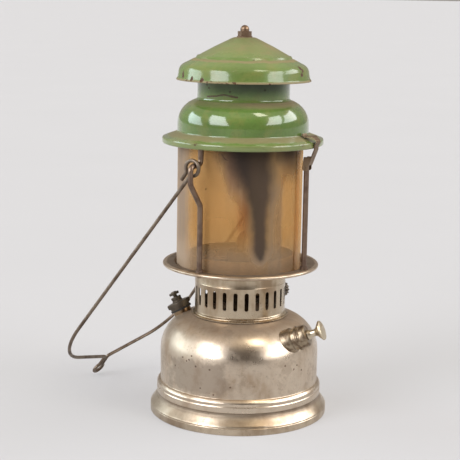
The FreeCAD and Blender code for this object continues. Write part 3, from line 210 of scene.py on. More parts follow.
floor_width = 300
cleared()
bpy.ops.mesh.primitive_plane_add(size=floor_width)
floor = bpy.context.object
floor.name = "floor"
pale = new_finish("pale_floor")
floor_tone = pale.mix(pale.grain(0.4, 2.0), paint(141, 141, 143), paint(145, 145, 147))
floor.data.materials.append(pale.shade(Base_Color=floor_tone, Roughness=0.9, Specular_IOR_Level=0.0,
                                       Emission_Color=paint(226, 225, 226), Emission_Strength=0.45))


# Soft daylight all round, brighter overhead and dim on the photographer's side, with the windows that
# the polished metal and the enamel show: two on the left, two on the right, and a warm lamp above.
sky = bpy.data.worlds.new("daylight")
bpy.context.scene.world = sky
bpy.context.scene.view_settings.view_transform = "Standard"
air = Finish(sky, "Generated")
east, north, above = air.axes()
height_angle = above.maths("ARCSINE", above) * math.degrees(1)
view_angle = east.maths("ARCTAN2", east, -1 * north) * math.degrees(1)
daylight = air.mix(height_angle.rise(14, 52), paint(158, 152, 146), paint(214, 199, 181))
room_side = view_angle.band(0, 34, 26) * height_angle.band(16, 22, 18)
daylight = air.mix(room_side * 0.95, daylight, paint(62, 51, 42))
# Each window: the turn of its middle, its slope, half its width, the height of its middle and half its
# height, all in degrees, then its brightness and its tint.
pane_soft = 3
windows = [
    (-90, -0.6, 17, 17, 11, 5.2, (0.86, 1.0, 1.08)),
    (-37, -0.4, 16, 29, 17, 7.4, (0.98, 1.0, 1.05)),
    (47, 0.55, 14, 30, 14, 6.4, (1.0, 1.0, 1.02)),
    (82, 0.75, 17, 28, 10, 5.6, (0.98, 1.0, 1.02)),
    (48, 0.0, 12, 62, 7, 9.0, (1.0, 0.93, 0.76)),
]
for turn_middle, slope, turn_half, rise_middle, rise_half, strength, tint in windows:
    across = (view_angle - height_angle * slope).band(turn_middle, turn_half, pane_soft)
    pane = across * height_angle.band(rise_middle, rise_half, pane_soft)
    daylight = air.mix(pane, daylight, [part * strength for part in tint] + [1])
backdrop = air.node("ShaderNodeBackground", inputs={"Color": daylight, "Strength": 1.0})
air.end("ShaderNodeOutputWorld", backdrop)


# Foot ring: the flared skirt that the lantern stands on, spun from sheet brass and nickelled.
# Its top edge is folded into the tank's seam and its foot is turned in to a flat rest.
ARC_STEP = math.radians(11)
AXIS_RADIUS = 0.002
MERGED_WITHIN = 0.01


def rounded(corners):
    """The points of a line through corners, each a place and its round, with an arc at each round."""
    points = []
    for i, (here, size) in enumerate(corners):
        if not size:
            points.append(here)
            continue
        to_before = (corners[i - 1][0] - here).normalized()
        to_after = (corners[i + 1][0] - here).normalized()
        half = to_before.angle(to_after) / 2
        centre = here + (to_before + to_after).normalized() * (size / math.sin(half))
        start = here + to_before * (size / math.tan(half)) - centre
        end = here + to_after * (size / math.tan(half)) - centre
        bend = math.pi - 2 * half
        count = max(2, round(bend / ARC_STEP))
        axle = start.cross(end)
        points += [centre + Matrix.Rotation(bend * j / count, 3, axle) @ start for j in range(count + 1)]
    return points


def walled(corners, wall):
    """Closes an open outline, in millimetres, into a wall of even thickness on the right of its run."""
    points = [Vector(corner[:2]) for corner in corners]
    inner = []
    for i, corner in enumerate(corners):
        before = (points[i] - points[i - 1]).normalized() if i else (points[1] - points[0]).normalized()
        after = (points[i + 1] - points[i]).normalized() if i < len(points) - 1 else before
        right = Vector((before.y + after.y, -before.x - after.x)) / (1 + before.dot(after))
        moved = points[i] + right * wall
        turns_right = before.x * after.y - before.y * after.x < 0
        size = corner[2] + (-wall if turns_right else wall) if len(corner) == 3 else 0
        inner.append((moved.x, moved.y, max(size, 0)))
    return list(corners) + inner[::-1] + [corners[0]]


def picked(piece):
    """Selects one piece alone, so that the next operator acts on it."""
    cleared()
    piece.select_set(True)
    bpy.context.view_layer.objects.active = piece


def smoothed(piece):
    """Shades a piece smooth, with its sharp corners kept."""
    picked(piece)
    bpy.ops.object.shade_smooth_by_angle(angle=math.radians(32))


def turned(name, corners, sides=192, place=None):
    """A piece spun about its axis: a ring that is drawn out along an outline.

    Each corner is its radius and height in millimetres, and the radius of its round where it has one.
    """
    line = rounded([(Vector((c[0], 0, c[1])), c[2] if len(c) == 3 else 0) for c in corners])
    outline = [(max(point.x, AXIS_RADIUS) * MM, point.z * MM) for point in line]
    cleared()
    radius, height = outline[0]
    bpy.ops.mesh.primitive_circle_add(vertices=sides, radius=radius, location=(0, 0, height))
    piece = bpy.context.object
    piece.name = name
    bpy.ops.object.transform_apply()
    bpy.ops.object.mode_set(mode="EDIT")
    bpy.ops.mesh.select_all(action="SELECT")
    for (before, low), (after, high) in zip(outline, outline[1:]):
        bpy.ops.mesh.extrude_region_move(TRANSFORM_OT_translate={"value": (0, 0, high - low)})
        share = after / before
        bpy.ops.transform.resize(value=(share, share, 1), center_override=(0, 0, 0))
    bpy.ops.mesh.select_all(action="SELECT")
    bpy.ops.mesh.remove_doubles(threshold=MERGED_WITHIN * MM)
    bpy.ops.mesh.normals_make_consistent(inside=False)
    bpy.ops.object.mode_set(mode="OBJECT")
    if place is not None:
        piece.data.transform(place)
    smoothed(piece)
    return piece


def uneven(piece, depth, size, shift):
    """Moves a spun wall in and out by slow waves, as hand work and knocks leave it."""
    for point in piece.data.vertices:
        wave = noise.noise(point.co / size + Vector((shift, shift, shift)))
        reach = Vector((point.co.x, point.co.y, 0))
        if reach.length > depth:
            point.co += reach.normalized() * wave * depth


def fitted(piece, material, body, slot, *nodes):
    """Gives a finished piece its material and its body, and hides the CAD nodes that it stands for. The
    slot is not used.
    """
    piece.data.materials.clear()
    piece.data.materials.append(material)
    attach(piece, body)
    if nodes:
        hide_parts(*nodes)


def dressed(material, *nodes):
    """Gives a finer material to CAD nodes, whose shape is kept."""
    for name in nodes:
        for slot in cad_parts[name].material_slots:
            slot.material = material


def marked(finish, places, size):
    """Small marks at (angle about the axis, height), with the size as radius, both in millimetres."""
    angle, reach = finish.turn()
    height = finish.height()
    torn = (finish.grain(0.0016, 3) - 0.5) * size
    found = None
    for turn, level in places:
        across = (angle - turn) * reach / (MM * math.degrees(1))
        away = (across * across + (height - level) * (height - level)) ** 0.5 + torn
        spot = 1 - away.rise(size * 0.5, size)
        found = spot if found is None else found.most(spot)
    return found


def aged_nickel(name, light, stain, stain_share, pit_share, shift, marks=(), dirt_and_shade=None):
    """Nickel plate that has yellowed, with brown pits where the brass shows, and fine spinning lines.

    The marks are single pits at known places. A dirt_and_shade function gives where the plate is darkened
    and dulled, with painted shade on the tank's wall, and the colour there.
    """
    metal = new_finish(name)
    clouds = metal.grain(0.03, 5, shift=shift)
    streaks = metal.grain(0.011, 4, stretch=(1, 1, 0.35), shift=shift + 3)
    yellowing = (clouds * 0.6 + streaks * 0.4).rise(0.62 - stain_share * 0.3, 0.72 - stain_share * 0.14)
    tone = metal.mix(yellowing * 0.75, light, stain)
    film = metal.grain(0.005, 6, rough=0.66, shift=shift + 7)
    tone = metal.mix(film.rise(0.5, 0.74) * 0.32, tone, paint(146, 124, 100))
    pits = metal.specks(0.0009, 0.0034, shift) * metal.grain(0.012, 3, shift=shift + 1).rise(0.53, 0.64)
    small_pits = metal.specks(0.00045, 0.0019, shift + 2)
    small_pits = small_pits * metal.grain(0.02, 3, shift=shift + 5).rise(0.5, 0.66)
    eaten = (pits + small_pits * 0.6).least(1.0) * pit_share
    if marks:
        eaten = eaten.most(marked(metal, marks, size=1.1))
    tone = metal.mix(eaten, tone, paint(88, 64, 44))
    lines = metal.grain(0.0012, 2, stretch=(0.02, 0.02, 1), shift=shift)
    rough = 0.2 + clouds * 0.1 + film * 0.08 + eaten * 0.3
    metallic = 1 - eaten * 0.6
    if dirt_and_shade:
        # Darkening and dulling from dirt, and on the tank's wall from painted shade.
        dirt_and_shade_mask, dirt_and_shade_tone = dirt_and_shade(metal)
        tone = metal.mix(dirt_and_shade_mask * 0.75, tone, dirt_and_shade_tone)
        rough = rough + dirt_and_shade_mask * 0.2
        metallic = metallic - dirt_and_shade_mask * 0.35
    relief = metal.bump(lines, 0.00001, 0.2)
    relief = metal.bump(metal.grain(0.02, 2, shift=shift + 9), 0.0005, 0.2, relief)
    relief = metal.bump(1 - eaten, 0.00012, 0.6, relief)
    metallic, rough = metallic.most(0.0), rough.least(1.0)
    return metal.shade(Base_Color=tone, Metallic=metallic, Roughness=rough, Normal=relief)


def foot_darkening(metal):
    """The skirt is darkened to brown and dulled at the left, and in the corner under the seam."""
    angle, _ = metal.turn()
    height = metal.height()
    torn = metal.grain(0.012, 5, rough=0.62, shift=17) - 0.5
    left_side = (angle + torn * 30).band(-150, 22, 16) * 0.5
    corner = (height + torn * 3).rise(12, 15)
    return left_side.most(corner * 0.8), paint(86, 69, 54)


foot_metal = aged_nickel("foot_nickel", paint(200, 184, 162), paint(150, 127, 103),
                         stain_share=0.6, pit_share=0.5, shift=0.4, dirt_and_shade=foot_darkening)
foot_ring = turned("foot_skirt", [
    (74.35, 17.9),
    (74.35, 15.7, 4),
    (79.9, 8.6, 3.5),
    (80.6, 7.5, 0.6),
    (80.6, 6.9, 0.2),
    (80.2, 6.5, 0.15),
    (80.64, 6.0, 0.3),
    (80.64, 0.02, 1.0),
    (76.8, 0.02),
    (76.8, 1.0),
    (79.8, 1.0),
    (79.6, 6.6, 1.0),
    (79.0, 8.3, 3),
    (73.4, 15.3, 4),
    (73.4, 17.9),
    (74.35, 17.9),
])
uneven(foot_ring, depth=0.25 * MM, size=45 * MM, shift=2)
fitted(foot_ring, foot_metal, "lantern", "aged_nickel", "foot_ring")
bottom_metal = aged_nickel("bottom_nickel", paint(176, 158, 132), paint(120, 98, 74),
                           stain_share=0.7, pit_share=0.8, shift=5.0)
dressed(bottom_metal, "tank_bottom")


# Tank: a dome spun from sheet brass and nickelled, with a band of rolled seam at its foot.
# The pump and the filler pass through holes that are cut in its shoulder.
def applied(piece, kind, **settings):
    """Adds a modifier to a piece and applies it."""
    picked(piece)
    modifier = piece.modifiers.new(kind.lower(), kind)
    for key, setting in settings.items():
        setattr(modifier, key, setting)
    bpy.ops.object.modifier_apply(modifier=modifier.name)


def leaning(turn, lean, place):
    """A place whose Z axis leans out towards a direction about the lantern's axis, in millimetres."""
    turned_out = Matrix.Rotation(math.radians(turn), 4, "Z") @ Matrix.Rotation(math.radians(lean), 4, "Y")
    return Matrix.Translation(Vector(place) * MM) @ turned_out


def bored(piece, radius, length, place):
    """Cuts a round hole along a place's own axis, as far as the length to either side of it."""
    outline = [(0, -length), (radius, -length), (radius, length), (0, length)]
    drill = turned("drill", outline, sides=48, place=place)
    applied(piece, "BOOLEAN", object=drill, operation="DIFFERENCE", solver="EXACT")
    bpy.data.objects.remove(drill)


def tank_soil_and_shade(metal):
    """Tarnish lies on the shoulder near the collar, and painted shade over some dirt darkens the wall a
    little left of the front.
    """
    angle, _ = metal.turn()
    height = metal.height()
    torn = metal.grain(0.012, 5, rough=0.62, shift=21) - 0.5
    shoulder = (height + torn * 14).rise(77, 91)
    # Painted shade over some dirt: the wall a little left of the front is darkened to stand in for a darker
    # reflection.
    left_wall_dirt_and_shade = (angle + torn * 40).band(-124, 20, 18) * (height + torn * 20).band(46, 12, 8)
    left_shoulder = (angle + torn * 30).band(-142, 16, 14) * (height + torn * 16).band(68, 9, 8) * 0.5
    patches = metal.grain(0.022, 6, rough=0.7, shift=40).rise(0.52, 0.64) * 0.5
    patches = patches * height.rise(30, 37)
    darkest_dirt_and_shade = left_wall_dirt_and_shade.most(left_shoulder).most(patches)
    dirt_and_shade_tone = metal.mix(darkest_dirt_and_shade, paint(150, 127, 104), paint(82, 64, 50))
    return shoulder.most(left_wall_dirt_and_shade * 0.7).most(left_shoulder).most(patches), dirt_and_shade_tone


tank_pits = [(-130, 59.5), (-111, 55.3), (-56, 57.8), (-45, 56.2), (-40, 50.5), (-126, 64.7), (-134, 61.8),
             (-128, 61.0), (-122, 56.4), (-96, 41.0), (-118, 37.5), (-48, 53.0), (-142, 52.0), (-108, 33.0)]
tank_metal = aged_nickel("tank_nickel", paint(208, 192, 172), paint(172, 147, 121),
                         stain_share=0.5, pit_share=0.4, shift=1.3, marks=tank_pits, dirt_and_shade=tank_soil_and_shade)
tank_radius = 71.8
tank_top = 90.8
dome_round = 32.8
tank_waves = {"depth": 0.45 * MM, "size": 38 * MM, "shift": 6}
tank = turned("tank_dome", walled([
    (9.6, tank_top),
    (tank_radius, tank_top, dome_round),
    (tank_radius, 29.9, 0.6),
    (73.3, 29.3, 1.4),
    (75.2, 26.9, 2.6),
    (74.5, 24.1, 0.4),
    (75.0, 23.4, 0.6),
    (75.0, 18.6, 0.4),
    (74.5, 18.1),
], wall=0.8))
uneven(tank, **tank_waves)
pump_turn = -15
pump_climb = 23.5
pump_bore = 8.55
pump_mouth = (46.6, -45.9, 77.4)
pump_place = leaning(pump_turn, 90 - pump_climb, pump_mouth)
filler_turn = 166
filler_lean = 27.5
filler_bore = 6.85
filler_way = math.radians(filler_turn)
filler_run = tank_radius - dome_round + dome_round * math.sin(math.radians(filler_lean))
filler_rise = tank_top - dome_round + dome_round * math.cos(math.radians(filler_lean))
filler_mouth = (filler_run * math.cos(filler_way), filler_run * math.sin(filler_way), filler_rise)
filler_place = leaning(filler_turn, filler_lean, filler_mouth)
bored(tank, pump_bore, length=46, place=pump_place)
bored(tank, filler_bore, length=17, place=filler_place)
smoothed(tank)
fitted(tank, tank_metal, "lantern", "aged_nickel", "tank_shell")


# Filler: a flanged neck, a black gasket, and a ribbed cap of blackened brass with a knurled rim.
# The small screw in its stem lets the tank's pressure out.
def blackened(name, shift):
    """Brass that heat and oil have blackened, rubbed back to metal here and there."""
    metal = new_finish(name)
    rubbed = metal.grain(0.004, 5, rough=0.65, shift=shift).rise(0.58, 0.76)
    dirt = metal.grain(0.0016, 4, shift=shift + 4)
    tone = metal.mix(rubbed * 0.7, paint(88, 78, 66), paint(166, 144, 108))
    tone = metal.mix(dirt.rise(0.55, 0.75) * 0.4, tone, paint(54, 46, 40))
    relief = metal.bump(dirt, 0.00012, 0.6)
    rough = 0.46 - rubbed * 0.14
    return metal.shade(Base_Color=tone, Metallic=0.6 + rubbed * 0.3, Roughness=rough, Normal=relief)


def ribbed(piece, place, sides, low, high, inner, depth):
    """Presses grooves lengthwise into a band of a spun piece, at every second one of its sides."""
    back = place.inverted()
    for point in piece.data.vertices:
        here = back @ point.co
        reach = math.hypot(here.x, here.y)
        side = round(math.degrees(math.atan2(here.y, here.x)) * sides / 360)
        if low * MM <= here.z <= high * MM and reach > inner * MM and side % 2:
            here.xy *= (reach - depth * MM) / reach
            point.co = place @ here


filler_metal = blackened("filler_black", shift=2.0)
filler_sides = 72
filler_cap = turned("filler_cap_ribbed", [
    (6.86, 4.0),
    (9.2, 4.0),
    (9.4, 4.3),
    (9.4, 6.3),
    (10.6, 6.3),
    (11.0, 6.7),
    (11.0, 7.6),
    (11.0, 8.7),
    (11.0, 9.7),
    (10.5, 10.2),
    (7.2, 10.25, 0.5),
    (4.9, 10.9, 0.5),
    (4.8, 12.3),
    (4.3, 12.5),
    (4.3, 12.9),
    (4.8, 13.1),
    (4.8, 15.1, 0.5),
    (1.95, 15.1),
    (1.95, 8.8),
    (6.86, 8.8),
    (6.86, 4.0),
], filler_sides, filler_place)
ribbed(filler_cap, filler_place, filler_sides, low=6.5, high=9.9, inner=10.3, depth=0.7)
ribbed(filler_cap, filler_place, filler_sides, low=13.0, high=15.0, inner=4.4, depth=0.3)
fitted(filler_cap, filler_metal, "filler_cap", "dark_fitting", "filler_cap")
screw_sides = 48
release_screw = turned("release_thumb", [
    (0, 9.1),
    (1.9, 9.1),
    (1.9, 17.3),
    (4.3, 17.3),
    (4.7, 17.6),
    (4.7, 18.3),
    (4.7, 19.2),
    (4.3, 19.5),
    (2.6, 19.55),
    (2.3, 20.2),
    (1.9, 20.3),
    (1.3, 20.0),
    (0, 19.9),
], screw_sides, filler_place)
ribbed(release_screw, filler_place, screw_sides, low=17.4, high=19.4, inner=4.4, depth=0.35)
screw_metal = blackened("release_black", shift=8.0)
fitted(release_screw, screw_metal, "release_screw", "dark_fitting", "release_screw")
rubber = new_finish("old_rubber")
rubber_tone = rubber.mix(rubber.grain(0.003), paint(30, 29, 28), paint(58, 54, 50))
rubber_relief = rubber.bump(rubber.grain(0.001), 0.0001)
rubber_finish = rubber.shade(Base_Color=rubber_tone, Roughness=0.75, Normal=rubber_relief)
dressed(rubber_finish, "filler_gasket", "filler_seal")
neck_metal = aged_nickel("filler_nickel", paint(158, 136, 108), paint(104, 82, 60),
                         stain_share=0.7, pit_share=0.6, shift=4.4)
dressed(neck_metal, "filler_boss")


# Pump: a barrel through the tank's shoulder with a soldered flange, a screwed cap that is knurled on
# its first ring, and a plunger whose turned brass knob is worn bright.
def worn_brass(name, light, dark, wear, shift):
    """Turned brass with a brown skin, fine turning marks and grime."""
    metal = new_finish(name)
    skin = metal.grain(0.006, 5, rough=0.62, shift=shift).rise(0.62 - wear * 0.3, 0.8 - wear * 0.25)
    tone = metal.mix(skin, light, dark)
    grime = metal.grain(0.0022, 4, shift=shift + 6).rise(0.58, 0.74)
    tone = metal.mix(grime * 0.6, tone, paint(74, 58, 42))
    relief = metal.bump(metal.grain(0.0015, 3, shift=shift + 2), 0.00008, 0.5)
    rough = 0.36 + skin * 0.16 + grime * 0.2
    return metal.shade(Base_Color=tone, Metallic=1 - grime * 0.4, Roughness=rough, Normal=relief)


pump_metal = worn_brass("pump_nickel", paint(164, 148, 126), paint(112, 94, 76), wear=0.6, shift=3.0)
pump_sides = 96
tank_form = turned("tank_form", [
    (0, tank_top),
    (tank_radius, tank_top, dome_round),
    (tank_radius, 18.0),
    (0, 18.0),
    (0, tank_top),
])
uneven(tank_form, **tank_waves)
pump_flange = turned("pump_collar", [
    (pump_bore, -12.0),
    (11.2, -12.0),
    (11.2, 0.6),
    (10.7, 1.5),
    (9.9, 1.8),
    (9.8, 2.2),
    (9.8, 5.0),
    (9.6, 5.2),
    (pump_bore, 5.2),
    (pump_bore, -12.0),
], pump_sides, pump_place)
applied(pump_flange, "BOOLEAN", object=tank_form, operation="DIFFERENCE", solver="EXACT")
bpy.data.objects.remove(tank_form)
smoothed(pump_flange)
fitted(pump_flange, pump_metal, "lantern", "aged_nickel", "pump_flange")
pump_cap = turned("pump_cap_knurled", [
    (8.56, 5.25),
    (10.6, 5.25),
    (10.9, 5.55),
    (10.9, 6.2),
    (10.9, 6.9),
    (10.6, 7.15),
    (10.0, 7.2),
    (10.0, 8.9),
    (10.45, 9.4),
    (10.0, 9.9),
    (9.95, 13.0),
    (9.2, 14.6, 0.8),
    (7.6, 15.0, 0.8),
    (2.05, 15.0),
    (2.05, 13.6),
    (8.56, 13.6),
    (8.56, 5.25),
], pump_sides, pump_place)
ribbed(pump_cap, pump_place, pump_sides, low=5.5, high=7.0, inner=10.4, depth=0.35)
fitted(pump_cap, pump_metal, "lantern", "aged_nickel", "pump_cap")
knob_metal = worn_brass("knob_nickel", paint(204, 190, 166), paint(158, 134, 104), wear=0.4, shift=9.0)
pump_knob = turned("pump_handle", [
    (2.0, 15.05),
    (4.2, 15.05),
    (4.6, 15.5),
    (4.4, 16.4),
    (3.2, 18.2, 2.2),
    (3.1, 23.0, 3.0),
    (8.2, 27.0, 0.6),
    (8.8, 27.6, 0.3),
    (8.8, 28.6, 0.3),
    (8.0, 29.2, 1.0),
    (3.2, 29.9, 2.0),
    (0, 29.9),
    (0, 27.6),
    (2.0, 27.6),
    (2.0, 15.05),
], sides=72, place=pump_place)
fitted(pump_knob, knob_metal, "plunger", "aged_nickel", "pump_knob")
rod_steel = new_finish("plunger_steel")
rod_rust = rod_steel.grain(0.004, 5, rough=0.7).rise(0.5, 0.7)
rod_tone = rod_steel.mix(rod_rust, paint(148, 142, 132), paint(96, 74, 54))
rod_relief = rod_steel.bump(rod_rust, 0.00008)
rod_finish = rod_steel.shade(Base_Color=rod_tone, Metallic=1 - rod_rust * 0.5,
                             Roughness=0.32 + rod_rust * 0.3, Normal=rod_relief)
dressed(rod_finish, "pump_rod", "pump_washer", "pump_nut", "cap_stud")
leather = new_finish("oiled_leather")
leather_tone = leather.mix(leather.grain(0.004), paint(92, 62, 38), paint(58, 40, 28))
leather_finish = leather.shade(Base_Color=leather_tone, Roughness=0.6,
                               Normal=leather.bump(leather.specks(0.0006, 0.0011), 0.0001))
dressed(leather_finish, "pump_leather")


# Burner: brass pieces that heat has browned, from the riser in the tank up to the mixing tube, with
# the jet and its needle, a china nozzle and a silk mantle that has burnt to white ash.
burner_metal = worn_brass("burner_brass", paint(96, 76, 52), paint(58, 45, 34), wear=0.8, shift=5.0)
dressed(burner_metal, "centre_boss", "fuel_riser", "pump_tube", "non_return_valve", "fuel_block",
        "vaporiser_tube", "valve_body", "spindle_gland", "jet_nipple", "cleaning_needle", "spirit_cup",
        "control_spindle", "wheel_nut")
heated_metal = worn_brass("heated_nickel", paint(150, 134, 116), paint(104, 90, 76), wear=0.8, shift=7.0)
dressed(heated_metal, "mixing_tube")
dressed(blackened("wheel_black", shift=5.0), "control_wheel")
china = new_finish("glazed_china")
soot = china.grain(0.008, 4).rise(0.4, 0.7)
china_finish = china.shade(Base_Color=china.mix(soot, paint(216, 206, 190), paint(120, 104, 88)),
                           Roughness=0.3 + soot * 0.4, Normal=china.bump(soot, 0.0001))
dressed(china_finish, "burner_nozzle")
silk = new_finish("burnt_silk")
threads = silk.node("ShaderNodeTexVoronoi", inputs={"Vector": silk.place, "Scale": 1 / 0.0011})
ash_tone = silk.mix(threads.rise(0.2, 0.6), paint(232, 226, 214), paint(182, 172, 156))
ash_finish = silk.shade(Base_Color=ash_tone, Roughness=0.9, Normal=silk.bump(threads, 0.0002))
dressed(ash_finish, "mantle")


# Draught collar: a spun and pierced band under the gallery, of thin nickelled brass, with a beaded
# foot. Its twenty-six slots let the air in, and a match to the spirit cup.
def collar_inner_darkening(metal):
    """The collar's inner wall is darkened to near black and dulled."""
    _, reach = metal.turn()
    return 1 - (reach / MM).rise(40.45, 40.7), paint(28, 23, 19)


collar_metal = aged_nickel("collar_nickel", paint(196, 180, 156), paint(146, 120, 92),
                           stain_share=0.65, pit_share=0.5, shift=2.2, dirt_and_shade=collar_inner_darkening)
slot_count = 26
slot_first = -95.9
slot_half = 1.85
slot_low = 101.1 + slot_half
slot_high = 117.5 - slot_half
wall_middle = 40.5
wall_cleared = 6
collar = turned("pierced_collar", [
    (40.3, 90.8),
    (43.6, 90.8),
    (44.0, 91.2),
    (44.0, 91.7),
    (43.6, 92.0),
    (42.2, 92.1),
    (43.0, 93.0, 0.7),
    (41.4, 94.0),
    (41.0, 94.6),
    (41.0, 98.6),
    (41.0, 120.2),
    (41.3, 121.0, 0.5),
    (41.0, 121.8),
    (41.0, 130.6, 1.0),
    (42.0, 131.9),
    (46.0, 131.9),
    (46.0, 132.6),
    (40.3, 132.6),
    (40.3, 90.8),
], sides=8 * slot_count)
cleared()
bpy.ops.mesh.primitive_cylinder_add(vertices=20, radius=slot_half * MM, depth=wall_cleared * MM,
                                    location=(wall_middle * MM, 0, slot_high * MM),
                                    rotation=(0, math.pi / 2, 0))
slot_cutter = bpy.context.object
bpy.ops.object.transform_apply()
for point in slot_cutter.data.vertices:
    if point.co.z < slot_high * MM - 0.1 * MM:
        point.co.z -= (slot_high - slot_low) * MM
cutters = []
for i in range(slot_count):
    copy = slot_cutter.copy()
    copy.data = slot_cutter.data.copy()
    copy.data.transform(Matrix.Rotation(math.radians(slot_first + i * 360 / slot_count), 4, "Z"))
    bpy.context.scene.collection.objects.link(copy)
    cutters.append(copy)
cleared()
for copy in cutters:
    copy.select_set(True)
bpy.context.view_layer.objects.active = cutters[0]
bpy.ops.object.join()
applied(collar, "BOOLEAN", object=cutters[0], operation="DIFFERENCE", solver="EXACT")
bpy.data.objects.remove(cutters[0])
bpy.data.objects.remove(slot_cutter)
smoothed(collar)
fitted(collar, collar_metal, "lantern", "aged_nickel", "draught_collar")


# Gallery plate: a pressed plate with a rolled edge that carries the uprights on a raised ledge, and
# the globe and its seat ring in the recess. Heat has browned its nickel.
def recess_darkening(metal):
    """The plate's recess is darkened to a dark brown and dulled on its upper face."""
    _, reach = metal.turn()
    torn = metal.grain(0.008, 4, shift=31) - 0.5
    recess = 1 - (reach / MM + torn * 3).rise(66.2, 68.4)
    upper_face = metal.axes()[2].rise(0.1342, 0.1350)
    return recess * upper_face, paint(58, 43, 32)


plate_metal = aged_nickel("plate_nickel", paint(206, 188, 166), paint(156, 132, 108),
                          stain_share=0.55, pit_share=0.3, shift=3.4, dirt_and_shade=recess_darkening)
gallery_plate = turned("gallery_dish", walled([
    (40.2, 133.5),
    (58.8, 133.5, 1.2),
    (58.8, 138.6, 2.1),
    (68.0, 138.5, 0.4),
    (69.3, 138.7, 0.6),
    (70.6, 137.6, 0.9),
    (70.5, 136.0, 0.9),
    (69.3, 135.5, 0.6),
    (68.2, 136.0),
], wall=0.9))
uneven(gallery_plate, depth=0.3 * MM, size=40 * MM, shift=11)
fitted(gallery_plate, plate_metal, "lantern", "aged_nickel", "gallery_plate")
seat_metal = aged_nickel("seat_nickel", paint(170, 154, 136), paint(122, 106, 90),
                         stain_share=0.6, pit_share=0.4, shift=8.1)
dressed(seat_metal, "globe_seat_ring")


# Globe: a sheet of mica rolled into a tube, whose edges overlap a little on the right of the front.
# Years of flame have browned it, and soot has run up it in one dark streak. It stands loose on the
# gallery plate, a little to the left of the middle.
def mica(name):
    """Browned mica: a map of its stains by the angle about the axis and the height."""
    film = new_finish(name)
    angle, _ = film.turn()
    height = film.height()
    ragged = film.grain(0.012, 5, rough=0.6)
    wisps = film.grain(0.02, 4, stretch=(1, 1, 0.25), shift=4)
    ripples = film.grain(0.006, 3, stretch=(1, 1, 0.12), shift=9)
    bent = angle + (ragged - 0.5) * 7
    lifted = height + (ragged - 0.5) * 9
    tone = film.mix(wisps.rise(0.35, 0.7), paint(222, 178, 118), paint(200, 154, 94))
    grey_side = 1 - bent.rise(-152, -134)
    tone = film.mix(grey_side * 0.9, tone, paint(150, 135, 120))
    pale_foot = 1 - lifted.rise(146, 172)
    tone = film.mix(pale_foot * 0.8, tone, paint(188, 166, 142))
    orange = bent.band(-89, 1.5, 9) * lifted.band(188, 4, 30)
    tone = film.mix(orange * 0.85, tone, paint(150, 90, 38))
    browner = bent.band(-104, 8, 22).most(bent.band(-34, 12, 12)) * lifted.rise(204, 246) * 0.7
    tone = film.mix(browner, tone, paint(104, 70, 40))
    ashen = bent.band(-57, 5, 5) * (1 - lifted.rise(206, 226)) * 0.55
    tone = film.mix(ashen, tone, paint(136, 120, 102))
    rosy = bent.band(-95, 5, 10) * lifted.rise(186, 220)
    tone = film.mix(rosy * 0.75, tone, paint(120, 84, 62))
    left_edge = -80 - height.rise(148, 168) * 3 - height.rise(168, 206) * 5
    left_edge = left_edge - height.rise(196, 245) * 20
    right_edge = -64 + height.rise(180, 230) * 8
    foot_taper = 1 - height.rise(144, 160)
    left_edge = left_edge + foot_taper * 4
    right_edge = right_edge - foot_taper * 5
    soft = 6 + height.rise(160, 206) * 3 + height.rise(200, 236) * 6
    streak = ((bent - left_edge) / soft).rise(-1, 1) * (1 - ((bent - right_edge) / soft).rise(-1, 1))
    streak = streak * lifted.rise(141, 152)
    crown_right = bent.band(-47, 9, 15) * lifted.rise(212, 244) * 0.85
    sooted = streak.most(crown_right)
    soot_tone = film.mix(wisps.rise(0.3, 0.7), paint(34, 25, 21), paint(54, 41, 35))
    soot_tone = film.mix(height.rise(214, 240) * 0.85, soot_tone, paint(34, 25, 19))
    tone = film.mix(sooted * 0.95, tone, soot_tone)
    overlap_edge = angle.band(-19.5, 1.6, 1.2)
    tone = film.mix(overlap_edge * 0.5, tone, paint(216, 200, 170))
    glints = (ripples - 0.5).rise(0.02, 0.2) * (1 - sooted)
    tone = film.mix(glints * 0.12, tone, paint(214, 184, 140))
    spot = angle.band(-123.5, 0.35, 0.5) * height.band(211, 0.35, 0.5)
    off_crack = abs(bent + height - 132.5).rise(0.3, 0.9)
    crack = (1 - off_crack) * height.band(239.5, 2.2, 0.8)
    tone = film.mix((spot + crack * 0.8).least(1.0), tone, paint(60, 40, 26))
    solid = 0.2 + wisps * 0.06 + grey_side * 0.36 + orange * 0.22 + rosy * 0.4 + spot * 0.6 + crack * 0.4
    solid = solid + browner * 0.3 + ashen * 0.3
    far_side = 1 - angle.band(-90, 92, 16)
    solid = solid + (1 - lifted.rise(146, 176)) * 0.05 + far_side * 0.14
    solid = (solid + sooted * 0.76).least(0.98)
    relief = film.bump(ripples, 0.0003, 0.3)
    relief = film.bump(ragged, 0.0006, 0.15, relief)
    rough = 0.3 + ragged * 0.2 + sooted * 0.3
    sheet = film.surface(Base_Color=tone, Roughness=rough, Normal=relief, Specular_IOR_Level=0.35)
    clear = film.node("ShaderNodeBsdfTransparent", inputs={"Color": (0.95, 0.84, 0.66, 1)})
    both = film.node("ShaderNodeMixShader", inputs={0: solid, 1: clear, 2: sheet})
    return film.end("ShaderNodeOutputMaterial", both)


